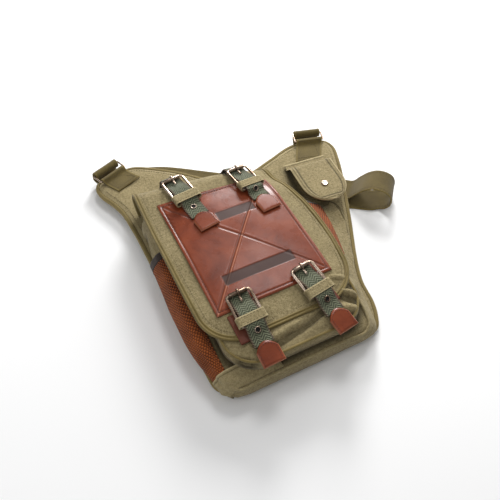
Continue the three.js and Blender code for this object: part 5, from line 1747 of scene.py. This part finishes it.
def add_snap_pocket():
    seat = snap_seat()
    size = {"width": SNAP_POCKET_WIDTH, "length": SNAP_POCKET_LENGTH,
            "corner": SNAP_POCKET_CORNER, "wall": SNAP_POCKET_WALL, "depth": SNAP_POCKET_DEPTH}
    made = pocket("coin_pocket", size, lambda x, y: 0 * x,
                  lambda x, y: SNAP_POCKET_DEPTH
                  * (1 - 0.3 * np.abs(2 * x / SNAP_POCKET_WIDTH) ** 2.5),
                  np.concatenate([[0.01, 0.03, 0.06], np.linspace(0.1, 1, 24)]), 30,
                  lambda p: apply(seat, p + [0, -SNAP_POCKET_LENGTH - SNAP_MOUTH_DROP, 0]))
    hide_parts("snap_pocket")

    half = SNAP_FLAP_WIDTH / 2
    hem = rounded_section(SNAP_FLAP_WIDTH - 1, 1.6, 20, corner=0.7)
    # The hem is lighter at its top edge, with a painted shade line along its middle.
    sweep("coin_hem", hem, np.linspace(-3.0, HEM_WIDTH, 10), lambda side, v, height: apply(
        seat, points(side, v, EAR_TAB_THICKNESS + 0.3 + height)), "canvas",
        fields={"worn": lambda side, v: bell(v, HEM_WIDTH, 2.0),
                "deep": lambda side, v: 0.7 * bell(v, 0.55 * HEM_WIDTH, 1.0)})

    def place(share, at, height):
        edge = half * np.sqrt(1 - np.clip((at - SNAP_STRAIGHT) / SNAP_ROUND, 0, 0.995) ** 2.4)
        high = SNAP_POCKET_DEPTH * follow(SNAP_FLAP_HEIGHT, at, "rise")
        spot = points(share * edge, -at * SNAP_FLAP_LENGTH, high * (1 - 0.05 * share ** 2) + height)
        return apply(seat, spot)

    section = rounded_section(2.0, SNAP_FLAP_WALL, 60, corner=0.03, rounding=3)
    rounding = SNAP_ROUND * np.sin(np.linspace(0, math.pi / 2, 60))
    along = np.concatenate([np.linspace(0, SNAP_STRAIGHT, 50)[:-1], SNAP_STRAIGHT + rounding])

    def border(share, at):
        """0 at the flap's edge, growing inward in millimetres."""
        return np.minimum((1 - np.abs(share)) * half, (1 - at) * SNAP_FLAP_LENGTH)

    def hemmed(share, at, height):
        rim = HEM_RISE * bell(border(share, at), HEM_WIDTH / 2, HEM_WIDTH / 2)
        return place(share, at, height + rim * (height > SNAP_FLAP_WALL / 2))

    # The flap is lighter at its edges, with painted shade lines along the hem's inner edge and
    # within the hem.
    made = sweep("coin_flap", section, along, hemmed, "canvas", fields={
        "worn": lambda share, at: bell(border(share, at), 0, 2.5),
        "deep": lambda share, at: 0.9 * bell(border(share, at), HEM_WIDTH, 1.8)
        + 0.6 * bell(border(share, at), 0.45 * HEM_WIDTH, 1.0)})
    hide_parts("snap_flap")

    rounding = 0.41 * np.sin(np.linspace(0.05, math.pi / 2, 24))
    inner = np.concatenate([np.linspace(0.10, SNAP_STRAIGHT, 20), SNAP_STRAIGHT + rounding])
    lines = []
    for keep in (0.94, 0.84):
        is_round = inner > SNAP_STRAIGHT
        at = SNAP_STRAIGHT + (inner - SNAP_STRAIGHT) * np.where(is_round, keep + 0.03, 1)
        left, right = (place(share + 0 * at, at, SNAP_FLAP_WALL + STITCH_OUT + 0 * at)
                       for share in (-keep, keep))
        lines.append(np.vstack([left, right[::-1]]))
    stitches("coin_stitches", lines, "canvas", radius=0.35)

    radius = SNAP_CAP_DIAMETER / 2
    centre = place(np.array(0.0), np.array(SNAP_CAP_AT), np.array(SNAP_FLAP_WALL))
    base = seat.copy()
    base[:3, 3] = centre
    profile = [(radius * share, SNAP_CAP_HEIGHT * rise) for share, rise in SNAP_CAP_PROFILE]
    made = lathe("coin_snap", profile, base, "metal", 28, closed=False)
    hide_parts("snap_cap")


# Shares of the way to and from the fold, and how far the webbing leans there
INWARD_LEANS = [(0, 0), (0.3, 0), (0.6, 0.4), (0.85, 0.8), (1, 1)]
OUTWARD_LEANS = [(0, 1), (0.35, 0.6), (0.7, 0.2), (0.9, 0)]
STRAP_ROWS = 460


def add_shoulder_strap():
    half = WEB_WIDTH / 2
    floor = WEB_THICKNESS / 2 + FLOOR_GAP
    layer = WEB_THICKNESS + LAYER_GAP
    outer_bar = (RING_INNER_HEIGHT + RING_WIRE) / 2

    def width_at(turn):
        return half * np.array([math.cos(math.radians(turn)), math.sin(math.radians(turn)), 0])

    def over_ring(ring, side):
        across = ring_place(ring, side * half, 0, 0) - ring_place(ring, 0, 0, 0)
        return [(ring_place(ring, 0, outer_bar + RING_ROLL_RADIUS * up,
                            RING_HEIGHT + RING_ROLL_RADIUS * high), across)
                for up, high in RING_ROLL]

    slant = 1 / math.tan(math.radians(WEB_FOLD_ANGLE))

    def stretch(start, stop, leans, side):
        ahead = unit((stop - start) * [1, 1, 0])
        across = np.array([-ahead[1], ahead[0], 0]) * side * half
        return [(lerp(start, stop, t), across + ahead * half * slant * lean)
                for t, lean in leans]

    right = over_ring(RINGS["right"], 1)[::-1]
    under = ring_place(RINGS["right"], 0, outer_bar, floor + 2 * layer)
    crease = back_place(STRAP_CREASE, floor + 2 * layer)
    crease_low = back_place(STRAP_CREASE, floor + layer)
    way_out = back_place(STRAP_EXIT, floor + layer)
    inward = stretch(under, crease, INWARD_LEANS, 1)
    outward_part = stretch(crease_low, way_out, OUTWARD_LEANS, -1)
    crease_across = inward[-1][1]
    bend = unit(np.array([crease_across[1], -crease_across[0], 0])) * -layer / 2
    fold = [((crease + bend) * [1, 1, 0] + [0, 0, floor + 1.5 * layer], crease_across)]
    loop_way = unit(width_at(LOOP_DIRECTION))
    loop = [((way_out + loop_way * reach * LOOP_REACH) * [1, 1, 0]
             + [0, 0, floor + (LOOP_HEIGHT - floor) * rise], width_at(turn))
            for reach, rise, turn in STRAP_LOOP]
    run_start, run_end = (back_place(row, floor) for row in STRAP_RUN)
    run = stretch(run_start, run_end, [(t, 0) for t in np.linspace(0, 1, 5)], 1)
    left_turn = [(back_place(row, floor), width_at(row[2])) for row in STRAP_LEFT_TURN]
    stations = right + inward + fold + outward_part + loop + run + left_turn \
        + over_ring(RINGS["left"], -1)
    place = ribbon_place(stations, WEB_THICKNESS, STRAP_ROWS)
    section = rounded_section(WEB_WIDTH, WEB_THICKNESS, 16, corner=0.85)
    along = np.arange(STRAP_ROWS)
    made = sweep("shoulder_webbing", section, along, place, "strap_webbing", worn_edge=3.0)
    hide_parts("shoulder_strap")
    lines = []
    for side in (-half + 1.8, -half + 5.0, half - 5.0, half - 1.8):
        for height in (-0.15, WEB_THICKNESS + 0.15):
            lines.append(place(side + 0.0 * along, along, height + 0.0 * along))
    stitches("shoulder_stitches", lines, "strap_webbing", length=3.0, gap=1.6, radius=0.3)


add_back_panel()
add_back_binding()
add_body()
add_front_pocket()
add_piping()
add_body_piping()
add_corner_patch()
for row in MESH_POCKETS:
    add_mesh_pocket(**row)
add_flap()
add_flap_binding()
add_leather_panel()
for row in BUCKLE_STRAPS:
    add_buckle_strap(row)
for name, row in RINGS.items():
    add_ring(name, row)
for name, row in RINGS.items():
    add_ear_tab(name, row)
add_snap_pocket()
add_shoulder_strap()
